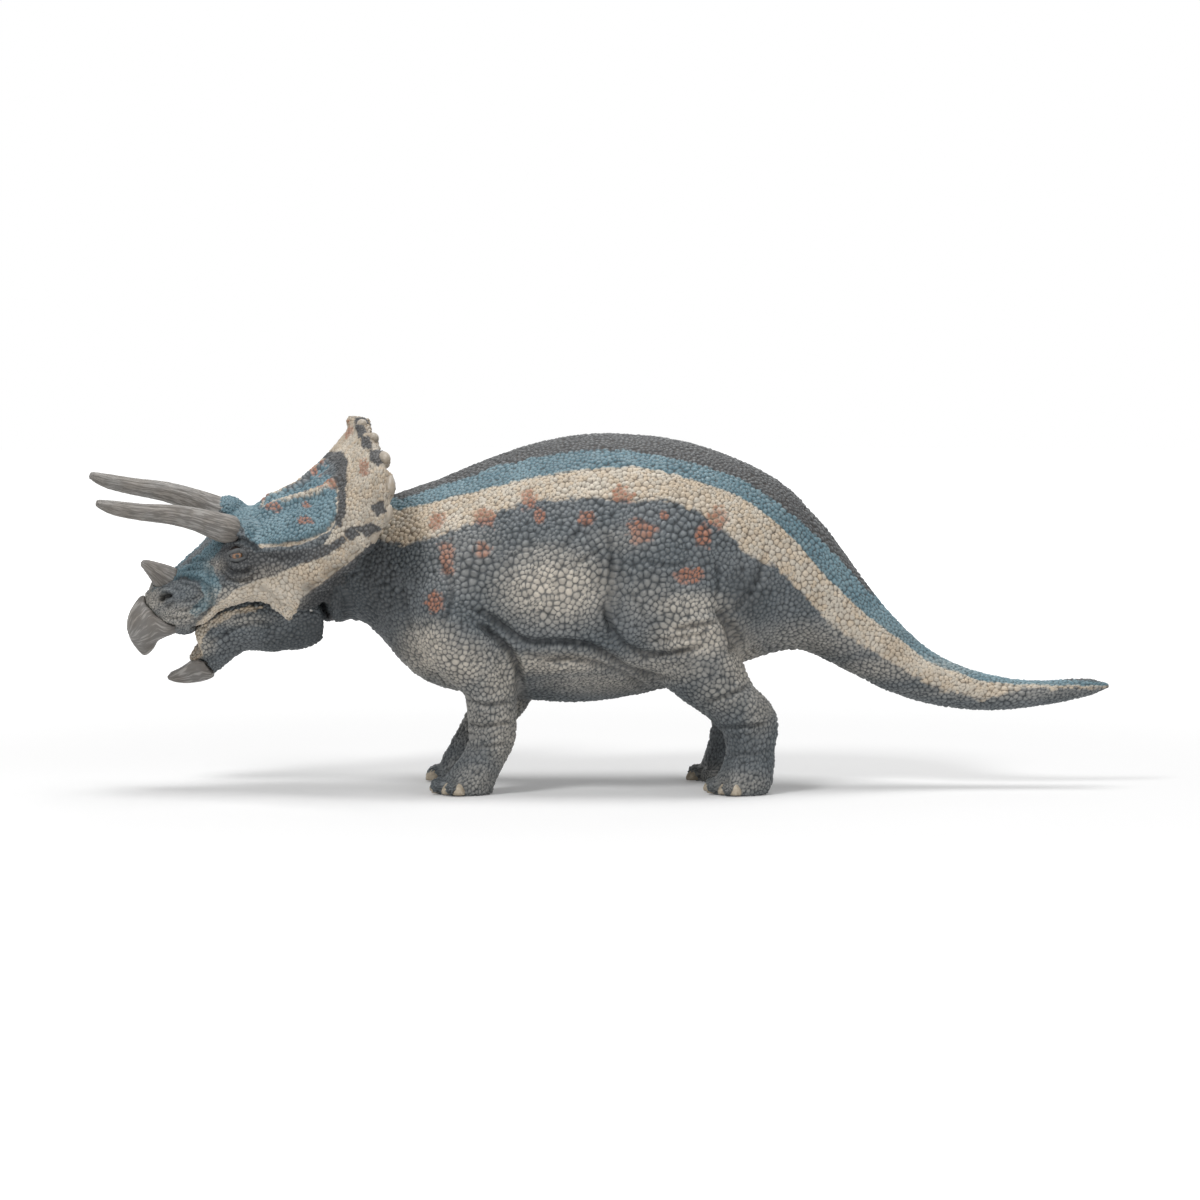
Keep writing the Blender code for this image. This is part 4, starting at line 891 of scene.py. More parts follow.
def horn_vinyl():
    """Cast PVC painted horn grey. Long moulded ridges hold a dark wash, and the grey
    is brushed thinly over their tops, so it reads as fibrous horn."""
    material, tree = new_material("horn_grey_pvc_vinyl")
    look = bpy.context.scene.dinosaur_paint
    ridge = add_node(tree, "ShaderNodeAttribute", attribute_name="ridge").outputs["Fac"]
    long_place = add_node(tree, "ShaderNodeVectorMath", {0: attribute(tree, "grain"), 1: (0.34, 2.9, 2.9)},
                          operation="MULTIPLY").outputs[0]
    streak = noise(tree, long_place, 1.0, 5.0)
    cloudy = noise(tree, place_in_mm(tree), 6.0)
    tone = mixed(tree, eased(tree, cloudy, 0.35, 0.65), colour(look.horn), colour(look.horn_warm))
    dark = eased(tree, sums(tree, "MULTIPLY_ADD", ridge, -0.10, streak), 0.58, 0.44, 0.0, 0.5)
    tone = mixed(tree, dark, tone, colour(look.horn_streak))
    tone = mixed(tree, eased(tree, streak, 0.55, 0.7, 0.0, 0.4), tone, colour(look.horn_light))
    rough = eased(tree, streak, 0.3, 0.6, 0.62, 0.46)
    finish_principled(tree, {"Base Color": tone, "Roughness": rough, "Normal": bumped(tree, streak, 0.6, 0.16),
                             "IOR": VINYL_IOR, "Specular IOR Level": 0.4})
    return material


def plain_vinyl(name, main, deep, size_mm, rough):
    """Cast PVC with one coat of matt paint, a little uneven."""
    material, tree = new_material(name)
    grain = noise(tree, place_in_mm(tree), size_mm, 4.0)
    tone = mixed(tree, eased(tree, grain, 0.3, 0.7), colour(main), colour(deep))
    uneven = eased(tree, grain, 0.3, 0.7, rough - 0.06, rough + 0.08)
    finish_principled(tree, {"Base Color": tone, "Roughness": uneven, "Normal": bumped(tree, grain, 0.4, 0.15),
                             "IOR": VINYL_IOR})
    return material


def varnished_eye(direction):
    """A bead painted amber with a black pupil, under clear gloss varnish that gives
    one sharp highlight."""
    material, tree = new_material("varnished_amber_bead")
    look = bpy.context.scene.dinosaur_paint
    facing = add_node(tree, "ShaderNodeTexCoord").outputs["Object"]
    unit = add_node(tree, "ShaderNodeVectorMath", {0: facing}, operation="NORMALIZE").outputs[0]
    front = add_node(tree, "ShaderNodeVectorMath", {0: unit, 1: direction}, operation="DOT_PRODUCT").outputs["Value"]
    iris = mixed(tree, eased(tree, front, 0.70, 0.93), colour(look.eye_rim), colour(look.eye_iris))
    tone = mixed(tree, eased(tree, front, 0.965, 0.98), iris, colour(look.pupil))
    finish_principled(tree, {"Base Color": tone, "Roughness": 0.12, "IOR": 1.5, "Coat Weight": 1.0,
                             "Coat Roughness": 0.1})
    return material


def drawn_steel():
    """Drawn steel pin: pale grey metal, a little uneven from the die."""
    material, tree = new_material("drawn_steel_pin")
    look = bpy.context.scene.dinosaur_paint
    grain = noise(tree, place_in_mm(tree), 0.6, 2.0)
    tone = mixed(tree, grain, colour(look.steel), colour(look.steel_light))
    finish_principled(tree, {"Base Color": tone, "Roughness": eased(tree, grain, 0.3, 0.7, 0.28, 0.42),
                             "Metallic": 1.0})
    return material


def material_of(name, make, *values):
    """A material by its name, made when it is first asked for."""
    return bpy.data.materials.get(name) or make(*values)


def skin_material():
    return material_of("painted_pvc_vinyl", painted_vinyl)


# ---------------------------------------------------------------- skins

def leg_middles(name):
    """Middle of a leg at heights up from the sole, as two columns."""
    points = places(frame["nodes"][name].data)
    heights = np.arange(1.0, 34.0, 3.0) * MM
    middles = []
    for height in heights:
        near = points[np.abs(points[:, 2] - height) < 3.0 * MM]
        middles.append((near[:, 0].min() + near[:, 0].max()) / 2.0)
    return heights, np.array(middles)


def with_far_legs_moved(points, side):
    """Points of the far legs moved to where the near ones stand, so that both take the same folds and paint."""
    moved = points.copy()
    low = smooth_step(-points[:, 2], -34.0 * MM, -22.0 * MM)
    for near_leg, far_leg, front in (("front_leg_left", "front_leg_right", True),
                                     ("rear_leg_left", "rear_leg_right", False)):
        heights, near_x = leg_middles(near_leg)
        _, far_x = leg_middles(far_leg)
        shift = np.interp(points[:, 2], heights, near_x - far_x)
        own = (points[:, 0] < -4.0 * MM) if front else ((points[:, 0] >= -4.0 * MM) & (points[:, 0] < 55.0 * MM))
        moved[:, 0] += np.where(own & (side > 0.0), shift * low, 0.0)
    return moved


def capped(work):
    """Closes each open rim with a fan of faces to its middle."""
    left = {edge for edge in work.edges if edge.is_boundary}
    for edge in left:
        edge.smooth = False
    while left:
        loop = [left.pop()]
        ring = set(loop[0].verts)
        grew = True
        while grew:
            grew = False
            for vert in list(ring):
                for edge in vert.link_edges:
                    if edge in left:
                        left.discard(edge)
                        loop.append(edge)
                        ring.update(edge.verts)
                        grew = True
        centre = work.verts.new(sum((vert.co for vert in ring), Vector()) / len(ring))
        for edge in loop:
            corner = next(c for c in edge.link_faces[0].loops
                          if c.vert in edge.verts and c.link_loop_next.vert in edge.verts)
            work.faces.new((corner.link_loop_next.vert, corner.vert, centre))


def split_skin(mesh, owner, names):
    """Pieces of a skin by the owner of each vertex, each closed where it was cut. The skin is freed."""
    pieces = {}
    base = bmesh_of(mesh)
    for index, name in enumerate(names):
        work = base.copy()
        away = [face for face in work.faces
                if sorted(owner[vert.index] for vert in face.verts)[len(face.verts) // 2] != index]
        bmesh.ops.delete(work, geom=away, context="FACES")
        for island in islands(work):
            if len(island) < LEAST_FACES:
                bmesh.ops.delete(work, geom=island, context="FACES")
        split_pinches(work)
        capped(work)
        pieces[name] = mesh_of(work, name)
    base.free()
    bpy.data.meshes.remove(mesh)
    return pieces


def islands(work):
    """The faces of a mesh, in groups that hang together."""
    seen, groups = set(), []
    for face in work.faces:
        if face in seen:
            continue
        island, stack = [], [face]
        seen.add(face)
        while stack:
            current = stack.pop()
            island.append(current)
            for edge in current.edges:
                for other in edge.link_faces:
                    if other not in seen:
                        seen.add(other)
                        stack.append(other)
        groups.append(island)
    return groups


def split_pinches(work):
    """Parts a vertex where two corners of a cut touch."""
    pinched = [vert for vert in work.verts if sum(edge.is_boundary for edge in vert.link_edges) > 2]
    for vert in pinched:
        bmesh.ops.delete(work, geom=list(vert.link_faces), context="FACES")


def dressed(mesh, pixels_of, folds, masses, sizes_table, scales, outward):
    """Folds and scales pressed into a skin. Returns pixels, facing and side for the paint."""
    depth_share = bpy.context.scene.dinosaur_sizes.scale_depth
    points = places(mesh)
    pixels, facing, side = pixels_of(points, outward)
    move, crease = folded(pixels, facing, folds, masses)
    sink, groove, chance = scale_relief(points, outward, size_field(pixels, sizes_table), scales, depth_share)
    points = points + outward * (move - sink)[:, None]
    points[:, 2] = np.maximum(points[:, 2], LOW.z)
    set_places(mesh, points)
    write_attribute(mesh, "relief", groove, chance, crease)
    return pixels, facing, side


def put(mesh, name, body, material, place=None):
    """Puts a piece in the scene, with its body. A piece without a place
    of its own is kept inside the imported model's box."""
    mesh.materials.clear()
    mesh.materials.append(material)
    mesh.polygons.foreach_set("use_smooth", [True] * len(mesh.polygons))
    obj = keep(mesh, name)
    if place is None:
        set_places(mesh, np.clip(places(mesh), np.array(LOW), np.array(HIGH)))
    else:
        obj.location = place
    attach(obj, body)
    return obj


def show(mesh, name, body, slot, material, *replaced, place=None):
    """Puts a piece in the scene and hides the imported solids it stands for."""
    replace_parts(put(mesh, name, body, material, place), *replaced)


def body_pixels(points, normals):
    turned, facing, side = near_side(points, normals, BODY_MIDDLE)
    return photo_place(with_far_legs_moved(turned, side)), facing, side


def head_pixels(points, normals):
    turned, facing, side = near_side(points, normals, HEAD_MIDDLE)
    return photo_place(turned), facing, side


def body_paint(mesh, pixels):
    columns, dark, blue, cream = np.array(BACK_BANDS, dtype=float).T
    bands = [mask(np.interp(pixels[:, 0], columns, rows) - pixels[:, 1], softness)
             for rows, softness in ((dark, 4.0), (blue, 4.0), (cream, 9.0))]
    still = np.zeros(len(pixels))
    write_attribute(mesh, "paint", *bands)
    write_attribute(mesh, "marks", strongest(pixels, BODY_SPOTS, spot_fall), still,
                    strongest(pixels, PALE_PATCHES, flat_fall))
    write_attribute(mesh, "mouth_shade_and_mottling", still, strongest(pixels, SHADE_PATCHES, soft_fall))


def head_paint(mesh, pixels):
    # Painted shade: a darker ring in the skin round the base of each bone boss
    boss_shade_rings = [(column, row, 1.3 * long_half, 1.5 * long_half, 0.75) for column, row, long_half, _ in RIM_BOSSES]
    write_attribute(mesh, "paint", *(fields_mask(pixels, fields, softness) for fields, softness in (
        (DARK_FIELDS, 4.0), (BLUE_FIELDS, 4.0), (CREAM_FIELDS, 3.0))))
    write_attribute(mesh, "marks", strongest(pixels, HEAD_SPOTS, spot_fall), strongest(pixels, CHEEK_BONE, spot_fall),
                    strongest(pixels, HEAD_PALE_PATCHES, flat_fall))
    write_attribute(mesh, "mouth_shade_and_mottling", np.zeros(len(pixels)),
                    strongest(pixels, list(HEAD_SHADE_AND_MOTTLING) + boss_shade_rings, soft_fall))


def plain_paint(mesh, dark=0.0, bone=0.0, groove=0.0):
    """One paint all over a small piece."""
    still = np.zeros(len(mesh.vertices))
    write_attribute(mesh, "relief", still + groove, still + 0.5)
    write_attribute(mesh, "paint", still + dark, still)
    write_attribute(mesh, "marks", still, still + bone)
    write_attribute(mesh, "mouth_shade_and_mottling", still, still)


def mirrored(point):
    """A point mirrored about the head's middle plane."""
    place, axis = HEAD_MIDDLE
    return point - axis * 2.0 * (point - place).dot(axis)


def add_tube(work, path, outward, radii, sides=10):
    """A closed ring of tube along a path, with a radius at each of its points."""
    rings = []
    for index, point in enumerate(path):
        way = (path[(index + 1) % len(path)] - path[index - 1]).normalized()
        side = way.cross(outward).normalized()
        up = side.cross(way)
        rings.append([work.verts.new(point + radii[index] * (math.cos(turn) * side + math.sin(turn) * up))
                      for turn in (2.0 * math.pi * step / sides for step in range(sides))])
    for first, second in zip(rings, rings[1:] + rings[:1]):
        for step in range(sides):
            following = (step + 1) % sides
            work.faces.new((first[step], first[following], second[following], second[step]))


def rim_places(tree):
    """Middle and half sizes of each near boss, found where the photograph shows it."""
    eye, right, up, ahead = view_axes()
    half = PIXELS_ACROSS / 2.0
    found = []
    for column, row, long_half, short_half in RIM_BOSSES:
        for step in range(12):
            share = step / 40.0
            at = Vector((column, row)) * (1.0 - share) + Vector(RIM_MIDDLE) * share
            way = (ahead * VIEW_DISTANCE * PIXELS_PER_METRE + right * (at.x - half) + up * (half - at.y)).normalized()
            entry = tree.ray_cast(eye, way)[0]
            if entry is not None:
                break
        leave = tree.ray_cast(entry + way * 0.3 * MM, way)[0]
        thin = leave is not None and (leave - entry).length < 4.0 * MM
        depth = (leave - entry).length / 2.0 if thin else -0.4 * short_half / PIXELS_PER_METRE
        back = (right * (column - at.x) - up * (row - at.y)) / PIXELS_PER_METRE
        found.append((entry + way * depth + 0.6 * back, long_half / PIXELS_PER_METRE, short_half / PIXELS_PER_METRE))
    return found


def rim_lines():
    """The bosses of the near half of the rim and of the far half, with the way each lies."""
    tree = tree_of(frame["nodes"]["head"].data)
    eye = view_axes()[0]
    near_line = rim_places(tree)
    far_line = []
    for middle, long_half, short_half in near_line:
        other = mirrored(middle)
        skin = tree.find_nearest(other)[0]
        other = skin if (skin - other).length > short_half else other
        seen = (eye - other).normalized()
        if tree.ray_cast(other + seen * 1.5 * short_half, seen)[0] is not None:
            far_line.append((other, long_half, short_half))
    rows = []
    for line in (near_line, far_line):
        for index, (middle, long_half, short_half) in enumerate(line):
            way = line[min(index + 1, len(line) - 1)][0] - line[max(index - 1, 0)][0]
            rows.append((middle, way, long_half, short_half))
    return rows


def rim_mounds():
    """Skin that the upper bosses sit in."""
    rows = rim_lines()
    lowest = rows[UPPER_BOSSES][0].z - 2.0 * MM
    inner = sum((row[0] for row in rows), Vector()) / len(rows)
    return [(middle + (inner - middle).normalized() * 1.1 * short_half, way,
             (1.6 * long_half, 1.5 * short_half, 1.3 * short_half))
            for middle, way, long_half, short_half in rows if middle.z > lowest]


class DINOSAUR_PG_paint(bpy.types.PropertyGroup):
    """Paint colours, as sRGB hex values"""


PAINTS = (
    ("flank", "Flank", "Slate grey of the flanks", "#656b6f"),
    ("flank_deep", "Deep flank", "Darker slate in clouds over the flanks", "#50585d"),
    ("cream", "Cream", "Cream of the band along the back", "#dad0c0"),
    ("cream_warm", "Warm cream", "Warmer cream in clouds over the band", "#c4b39c"),
    ("blue", "Blue", "Blue of the band above the cream", "#71909b"),
    ("blue_deep", "Deep blue", "Deeper blue in clouds over the band", "#52727e"),
    ("back", "Back", "Grey brown of the back", "#444648"),
    ("back_deep", "Deep back", "Darker grey brown of the back", "#35373a"),
    ("spot", "Spots", "Orange of the spots", "#b2693f"),
    ("spot_deep", "Deep spots", "Rust in the middle of the spots", "#8f5230"),
    ("bone", "Bone", "Bone of the bosses", "#b5a896"),
    ("bone_deep", "Deep bone", "Darker bone", "#9b8e7d"),
    ("claw", "Claws", "Tan of the claws", "#cbbfab"),
    ("claw_deep", "Deep claws", "Darker tan of the claws", "#ab9d88"),
    ("pale", "Pale patches", "Pale warm grey brushed over the flank", "#d2c8b9"),
    ("brushed", "Dry brushing", "Paint brushed over the tops of the scales", "#aeb0ac"),
    # The wash colours: a dark wash in grooves and folds that also stands for painted shade there, and painted shade in
    # the shaded places
    ("wash", "Wash", "Dark wash in grooves and folds", "#292b2d"),
    ("wash_warm", "Warm wash", "Brown wash in the grooves of the cream paint", "#433c36"),
    ("mouth", "Mouth", "Inside of the mouth", "#6b5a50"),
    ("horn", "Horn", "Grey of horns and beaks", "#9b9894"),
    ("horn_warm", "Warm horn", "Warmer grey of horns and beaks", "#8b857e"),
    ("horn_streak", "Horn streaks", "Dark streaks along horns and beaks", "#45423f"),
    ("horn_light", "Light horn", "Worn tops of the ridges", "#a9a6a1"),
    ("eye_rim", "Eye rim", "Rim of the eye bead", "#1f120c"),
    ("eye_iris", "Iris", "Amber of the iris", "#8d6038"),
    ("pupil", "Pupil", "Black of the pupil", "#0a0806"),
    ("tongue", "Tongue", "Brown pink of the tongue", "#7c5a4e"),
    ("tongue_deep", "Deep tongue", "Darker brown pink of the tongue", "#634439"),
    ("steel", "Steel", "Grey of the steel pin", "#9c9b98"),
    ("steel_light", "Light steel", "Paler grey of the steel pin", "#b9b8b4"),
)
for key, label, text, code in PAINTS:
    DINOSAUR_PG_paint.__annotations__[key] = bpy.props.StringProperty(name=label, description=text, default=code)


class DINOSAUR_PG_sizes(bpy.types.PropertyGroup):
    """Sizes of the skins"""

    body_voxel: bpy.props.FloatProperty(
        name="Body mesh", description="Square size of the body's skin before its last division",
        default=0.64 * MM, unit="LENGTH")
    head_voxel: bpy.props.FloatProperty(
        name="Head mesh", description="Square size of the head's skin before its last division",
        default=0.54 * MM, unit="LENGTH")
    horn_voxel: bpy.props.FloatProperty(
        name="Horn mesh", description="Square size of the horns and beaks before their last division",
        default=0.5 * MM, unit="LENGTH")
    scale_depth: bpy.props.FloatProperty(
        name="Scale depth", description="Depth of the grooves, as a share of a scale's size",
        default=0.36, min=0.0, max=0.4, subtype="FACTOR")
    claw_width: bpy.props.FloatProperty(
        name="Claw width", description="Half the width of a claw", default=1.6 * MM, unit="LENGTH")
    claw_height: bpy.props.FloatProperty(
        name="Claw height", description="Height of a claw", default=3.4 * MM, unit="LENGTH")


def coarse():
    return 1.0


class DINOSAUR_OT_body(bpy.types.Operator):
    """Builds the torso, the legs and the tail as one skin, then parts it into its mouldings"""
    bl_idname = "dinosaur.body"
    bl_label = "Body, legs and tail"

    def execute(self, context):
        voxel = context.scene.dinosaur_sizes.body_voxel * coarse()
        mesh = joined_skin(BODY_NODES, voxel, straight_mounds(NECK_MOUNDS))
        gaps = np.stack([distances(places(mesh), name) for name in BODY_NODES], axis=1)
        soft = np.exp(-((gaps[:, 0] + gaps[:, 1:].min(axis=1)) / JOIN_REACH) ** 2)
        gaps = smoothed(gaps, links(mesh), 6, 0.5)
        write_attribute(mesh, "first_gaps", *gaps[:, :3].T)
        write_attribute(mesh, "last_gaps", *gaps[:, 3:].T)
        mesh = rounded_skin(mesh, 6, soft)
        points, outward = places(mesh), facings(mesh)
        owner = np.argmin(np.hstack((read_vectors(mesh, "first_gaps"), read_vectors(mesh, "last_gaps"))), axis=1)
        right, rear = points[:, 1] > BODY_MIDDLE[0].y, points[:, 0] > TORSO_CUT
        owner = np.where((owner == 0) & (right | rear), len(BODY_NODES) - 1 + right + 2 * rear, owner)
        write_attribute(mesh, "outward", *outward.T)
        scales = scales_over(points, outward, size_field(body_pixels(points, outward)[0], SCALE_SIZES), SEED)
        names = ["torso_left_front_skin"] + [name + "_skin" for name in BODY_NODES[1:]]
        names += ["torso_right_front_skin", "torso_left_rear_skin", "torso_right_rear_skin"]
        pieces = split_skin(mesh, owner, names)
        for name, node in zip(names, BODY_NODES + 3 * BODY_NODES[:1]):
            piece = pieces[name]
            body_paint(piece, dressed(piece, body_pixels, BODY_FOLDS, BODY_MASSES, SCALE_SIZES, scales,
                                      read_vectors(piece, "outward"))[0])
            show(piece, name, "figure", "painted_vinyl", skin_material(), node)
        return {"FINISHED"}


class DINOSAUR_OT_head(bpy.types.Operator):
    """Builds the skull and the frill with their cheek spikes, and the skin round the horns' roots"""
    bl_idname = "dinosaur.head"
    bl_label = "Head"

    def execute(self, context):
        mounds = [root_mound(*row) for row in HORN_MOUNDS] + straight_mounds(MUZZLE_MOUNDS) + rim_mounds()
        mesh = joined_skin(("head",), context.scene.dinosaur_sizes.head_voxel * coarse(), mounds)
        soft = strongest(head_pixels(places(mesh), facings(mesh))[0], HEAD_SOFT_PLACES, soft_fall)
        mesh = rounded_skin(mesh, 3, soft)
        points, outward = places(mesh), facings(mesh)
        pixels, _, side = head_pixels(points, outward)
        write_attribute(mesh, "outward", *outward.T)
        scales = scales_over(points, outward, size_field(pixels, HEAD_SCALE_SIZES), SEED + 1)
        owner = np.where(pixels[:, 0] > FRILL_COLUMN, 1 + (side > 0.0), 0)
        for name, piece in split_skin(mesh, owner, HEAD_SKINS).items():
            head_paint(piece, dressed(piece, head_pixels, HEAD_FOLDS, HEAD_MASSES, HEAD_SCALE_SIZES, scales,
                                      read_vectors(piece, "outward"))[0])
            show(piece, name, "figure", "painted_vinyl", skin_material(), "head")
        return {"FINISHED"}


class DINOSAUR_OT_bosses(bpy.types.Operator):
    """Builds the bone bosses round the frill's rim"""
    bl_idname = "dinosaur.bosses"
    bl_label = "Frill bosses"

    def execute(self, context):
        work = bmesh.new()
        for middle, way, long_half, short_half in rim_lines():
            place = laid_along(middle, way)
            for vert in bmesh.ops.create_icosphere(work, subdivisions=4, radius=1.0)["verts"]:
                egg = 1.0 - 0.16 * vert.co.x
                vert.co = place @ Vector((vert.co.x * long_half, vert.co.y * short_half * egg,
                                          vert.co.z * short_half * egg))
        mesh = mesh_of(work, "frill_bosses")
        plain_paint(mesh, bone=1.0)
        show(mesh, "frill_bosses", "figure", "painted_vinyl", skin_material())
        return {"FINISHED"}


class DINOSAUR_OT_jaw(bpy.types.Operator):
    """Builds the lower jaw's skin and gives the tongue and the pin their finish"""
    bl_idname = "dinosaur.jaw"
    bl_label = "Lower jaw"

    def execute(self, context):
        voxel = context.scene.dinosaur_sizes.head_voxel * JAW_FINER * coarse()
        mesh = rounded_skin(joined_skin(("lower_jaw",), voxel, straight_mounds(JAW_MOUNDS), 0.0), 4)
        points, outward = places(mesh), facings(mesh)
        sizes = size_field(head_pixels(points, outward)[0], HEAD_SCALE_SIZES)
        scales = scales_over(points, outward, sizes, SEED + 2)
        pixels, facing, side = dressed(mesh, head_pixels, JAW_FOLDS, (), HEAD_SCALE_SIZES, scales, outward)
        still = np.zeros(len(pixels))
        mouth = smooth_step(facing[:, 1], 0.2, 0.6) * smooth_step(-np.abs(side), -9.0 * MM, -6.5 * MM)
        write_attribute(mesh, "paint", still, still, fields_mask(pixels, (LIP_FIELD,), 4.0))
        write_attribute(mesh, "marks", still, still, strongest(pixels, JAW_PALE_PATCHES, flat_fall))
        write_attribute(mesh, "mouth_shade_and_mottling", mouth, strongest(pixels, JAW_SHADE_PATCHES, soft_fall))
        show(mesh, "lower_jaw_skin", "jaw", "painted_vinyl", skin_material(), "lower_jaw")
        look = context.scene.dinosaur_paint
        for name, material in (("tongue", plain_vinyl("mouth_pvc_vinyl", look.tongue, look.tongue_deep, 0.9, 0.42)),
                               ("jaw_pin", drawn_steel())):
            node = frame["nodes"][name]
            node.data.materials.clear()
            node.data.materials.append(material)
        return {"FINISHED"}


class DINOSAUR_OT_horns(bpy.types.Operator):
    """Builds the three horns and the two halves of the beak with long fibrous ridges"""
    bl_idname = "dinosaur.horns"
    bl_label = "Horns and beaks"

    def execute(self, context):
        voxel = context.scene.dinosaur_sizes.horn_voxel * coarse()
        material = horn_vinyl()
        for index, name in enumerate(HORNS):
            beak = "beak" in name
            mesh = rounded_skin(joined_skin((name,), voxel), 2)
            points, normals = places(mesh), facings(mesh)
            if name == "lower_beak":
                limit = np.interp(points[:, 0], *(np.array(row) * MM for row in LOWER_BEAK_TOP))
                points[:, 2] = np.where(points[:, 2] > limit, limit + 0.2 * (points[:, 2] - limit), points[:, 2])
            along, around = fibre_places(points)
            chance = np.random.default_rng(SEED + 20 + index)
            ridge = np.zeros(len(points))
            for count in FIBRE_COUNTS:
                sway = 0.8 * np.sin(along / FIBRE_SWAY + chance.uniform(0.0, 6.0))
                ridge += np.sin(count * around + chance.uniform(0.0, 2.0 * math.pi) + sway) * chance.uniform(0.6, 1.0)
            ridge = ridge / len(FIBRE_COUNTS)
            set_places(mesh, points + normals * (RIDGE_HEIGHT * (ridge - 0.4))[:, None])
            write_attribute(mesh, "ridge", ridge + (BEAK_DARKER if beak else 0.0))
            write_attribute(mesh, "grain", along / MM, np.cos(around) * GRAIN_RADIUS, np.sin(around) * GRAIN_RADIUS)
            show(mesh, name + ("_horn_skin" if beak else "_skin"), "jaw" if name == "lower_beak" else "figure",
                 "horn_grey_vinyl", material, name)
        return {"FINISHED"}


def fibre_places(points):
    """Place along a horn's own length, and the angle round its middle line."""
    middle = points.mean(axis=0)
    _, _, axes = np.linalg.svd(points - middle, full_matrices=False)
    along = (points - middle) @ axes[0]
    edges = np.linspace(along.min(), along.max(), 14)
    stations, centres = [], []
    for low, high in zip(edges[:-1], edges[1:]):
        ring = points[(along >= low) & (along <= high)]
        if len(ring) > 4:
            stations.append((low + high) / 2.0)
            centres.append(ring.mean(axis=0))
    centres = np.array(centres)
    line = np.stack([np.interp(along, stations, centres[:, axis]) for axis in range(3)], axis=1)
    out = points - line
    return along, np.arctan2(out @ axes[2], out @ axes[1])


class DINOSAUR_OT_eyes(bpy.types.Operator):
    """Builds the two eye beads and the lids round them"""
    bl_idname = "dinosaur.eyes"
    bl_label = "Eyes"

    def execute(self, context):
        tree = tree_of(*(bpy.data.objects[name].data for name in HEAD_SKINS))
        lids = bmesh.new()
        for name, turn in (("eye_left", -1.0), ("eye_right", 1.0)):
            low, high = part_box(name)
            middle = (low + high) / 2.0
            radius = min(high - low) / 2.0
            outward = (HEAD_MIDDLE[1] * turn + EYE_TURN).normalized()
            add_lid(lids, tree, middle, radius, outward)
            work = bmesh.new()
            bmesh.ops.create_uvsphere(work, u_segments=48, v_segments=32, radius=radius)
            show(mesh_of(work, name), name + "_bead", "figure", "eye_gloss", varnished_eye(tuple(outward)), name,
                 place=middle)
        bmesh.ops.recalc_face_normals(lids, faces=lids.faces)
        mesh = mesh_of(lids, "eyelids")
        plain_paint(mesh, dark=1.0, groove=0.25)
        show(mesh, "eyelids", "figure", "painted_vinyl", skin_material())
        return {"FINISHED"}


def add_lid(lids, tree, middle, radius, outward):
    """A ring of lid that lies on the bead or on the skin, whichever is further out."""
    ahead = (EYE_AHEAD - outward * outward.dot(EYE_AHEAD)).normalized()
    up = ahead.cross(outward).normalized()
    up = up if up.z > 0.0 else -up
    path, radii = [], []
    for step in range(LID_STEPS):
        angle = 2.0 * math.pi * step / LID_STEPS
        rise = math.sin(angle)
        above = rise > 0.0
        reach = ahead * math.cos(angle) * LID_HALF_LENGTH + up * rise * (LID_ABOVE if above else LID_BELOW)
        at = middle + reach * radius
        skin = tree.ray_cast(at + outward * 8.0 * MM, -outward)[0]
        inside = radius ** 2 - (reach.length * radius) ** 2
        out_skin = (skin - middle).dot(outward) if skin is not None else 0.0
        out_bead = math.sqrt(inside) if inside > 0.0 else -1.0
        path.append(at + outward * max(out_skin, out_bead))
        radii.append(LID_THICK * radius * (0.55 + 0.45 * abs(rise)) * (1.15 if above else 0.9))
    add_tube(lids, path, outward, radii)


class DINOSAUR_OT_claws(bpy.types.Operator):
    """Builds the blunt claws on the four feet"""
    bl_idname = "dinosaur.claws"
    bl_label = "Claws"

    def execute(self, context):
        sizes, look = context.scene.dinosaur_sizes, context.scene.dinosaur_paint
        material = plain_vinyl("claw_pvc_vinyl", look.claw, look.claw_deep, 0.8, 0.5)
        for leg in LEGS:
            skin = bpy.data.objects[leg + "_skin"].data
            points = places(skin)
            foot = points[points[:, 2] < FOOT_HEIGHT]
            middle = (foot.min(axis=0) + foot.max(axis=0)) / 2.0
            tree = tree_of(skin)
            outer = 1.0 if leg.endswith("right") else -1.0
            claws = bmesh.new()
            for degrees in CLAW_ANGLES:
                angle = math.radians(degrees)
                way = Vector((-math.cos(angle), outer * math.sin(angle), 0.0))
                start = Vector((middle[0], middle[1], CLAW_LEVEL)) + way * 30.0 * MM
                hit = tree.ray_cast(start, -way)[0]
                if hit is not None:
                    add_claw(claws, hit, way, sizes.claw_width, sizes.claw_height)
            put(mesh_of(claws, leg + "_claws"), leg + "_claws", "figure", material)
        return {"FINISHED"}


def add_claw(claws, hit, way, half_width, height):
    """One blunt nail: a half dome, flat below, rounded in front and sunk in the toe."""
    across = Vector((-way.y, way.x, 0.0))
    for vert in bmesh.ops.create_uvsphere(claws, u_segments=24, v_segments=16, radius=1.0)["verts"]:
        x, y, z = vert.co
        rise = max(z, -0.35)
        taper = 1.0 - 0.28 * max(rise, 0.0)
        vert.co = (hit - way * 0.9 * MM + way * (x * 1.9 * MM * (1.0 - 0.35 * max(rise, 0.0)))
                   + across * (y * half_width * taper) + Vector((0.0, 0.0, 1.0)) * (rise * height * 0.62 - 0.2 * MM))


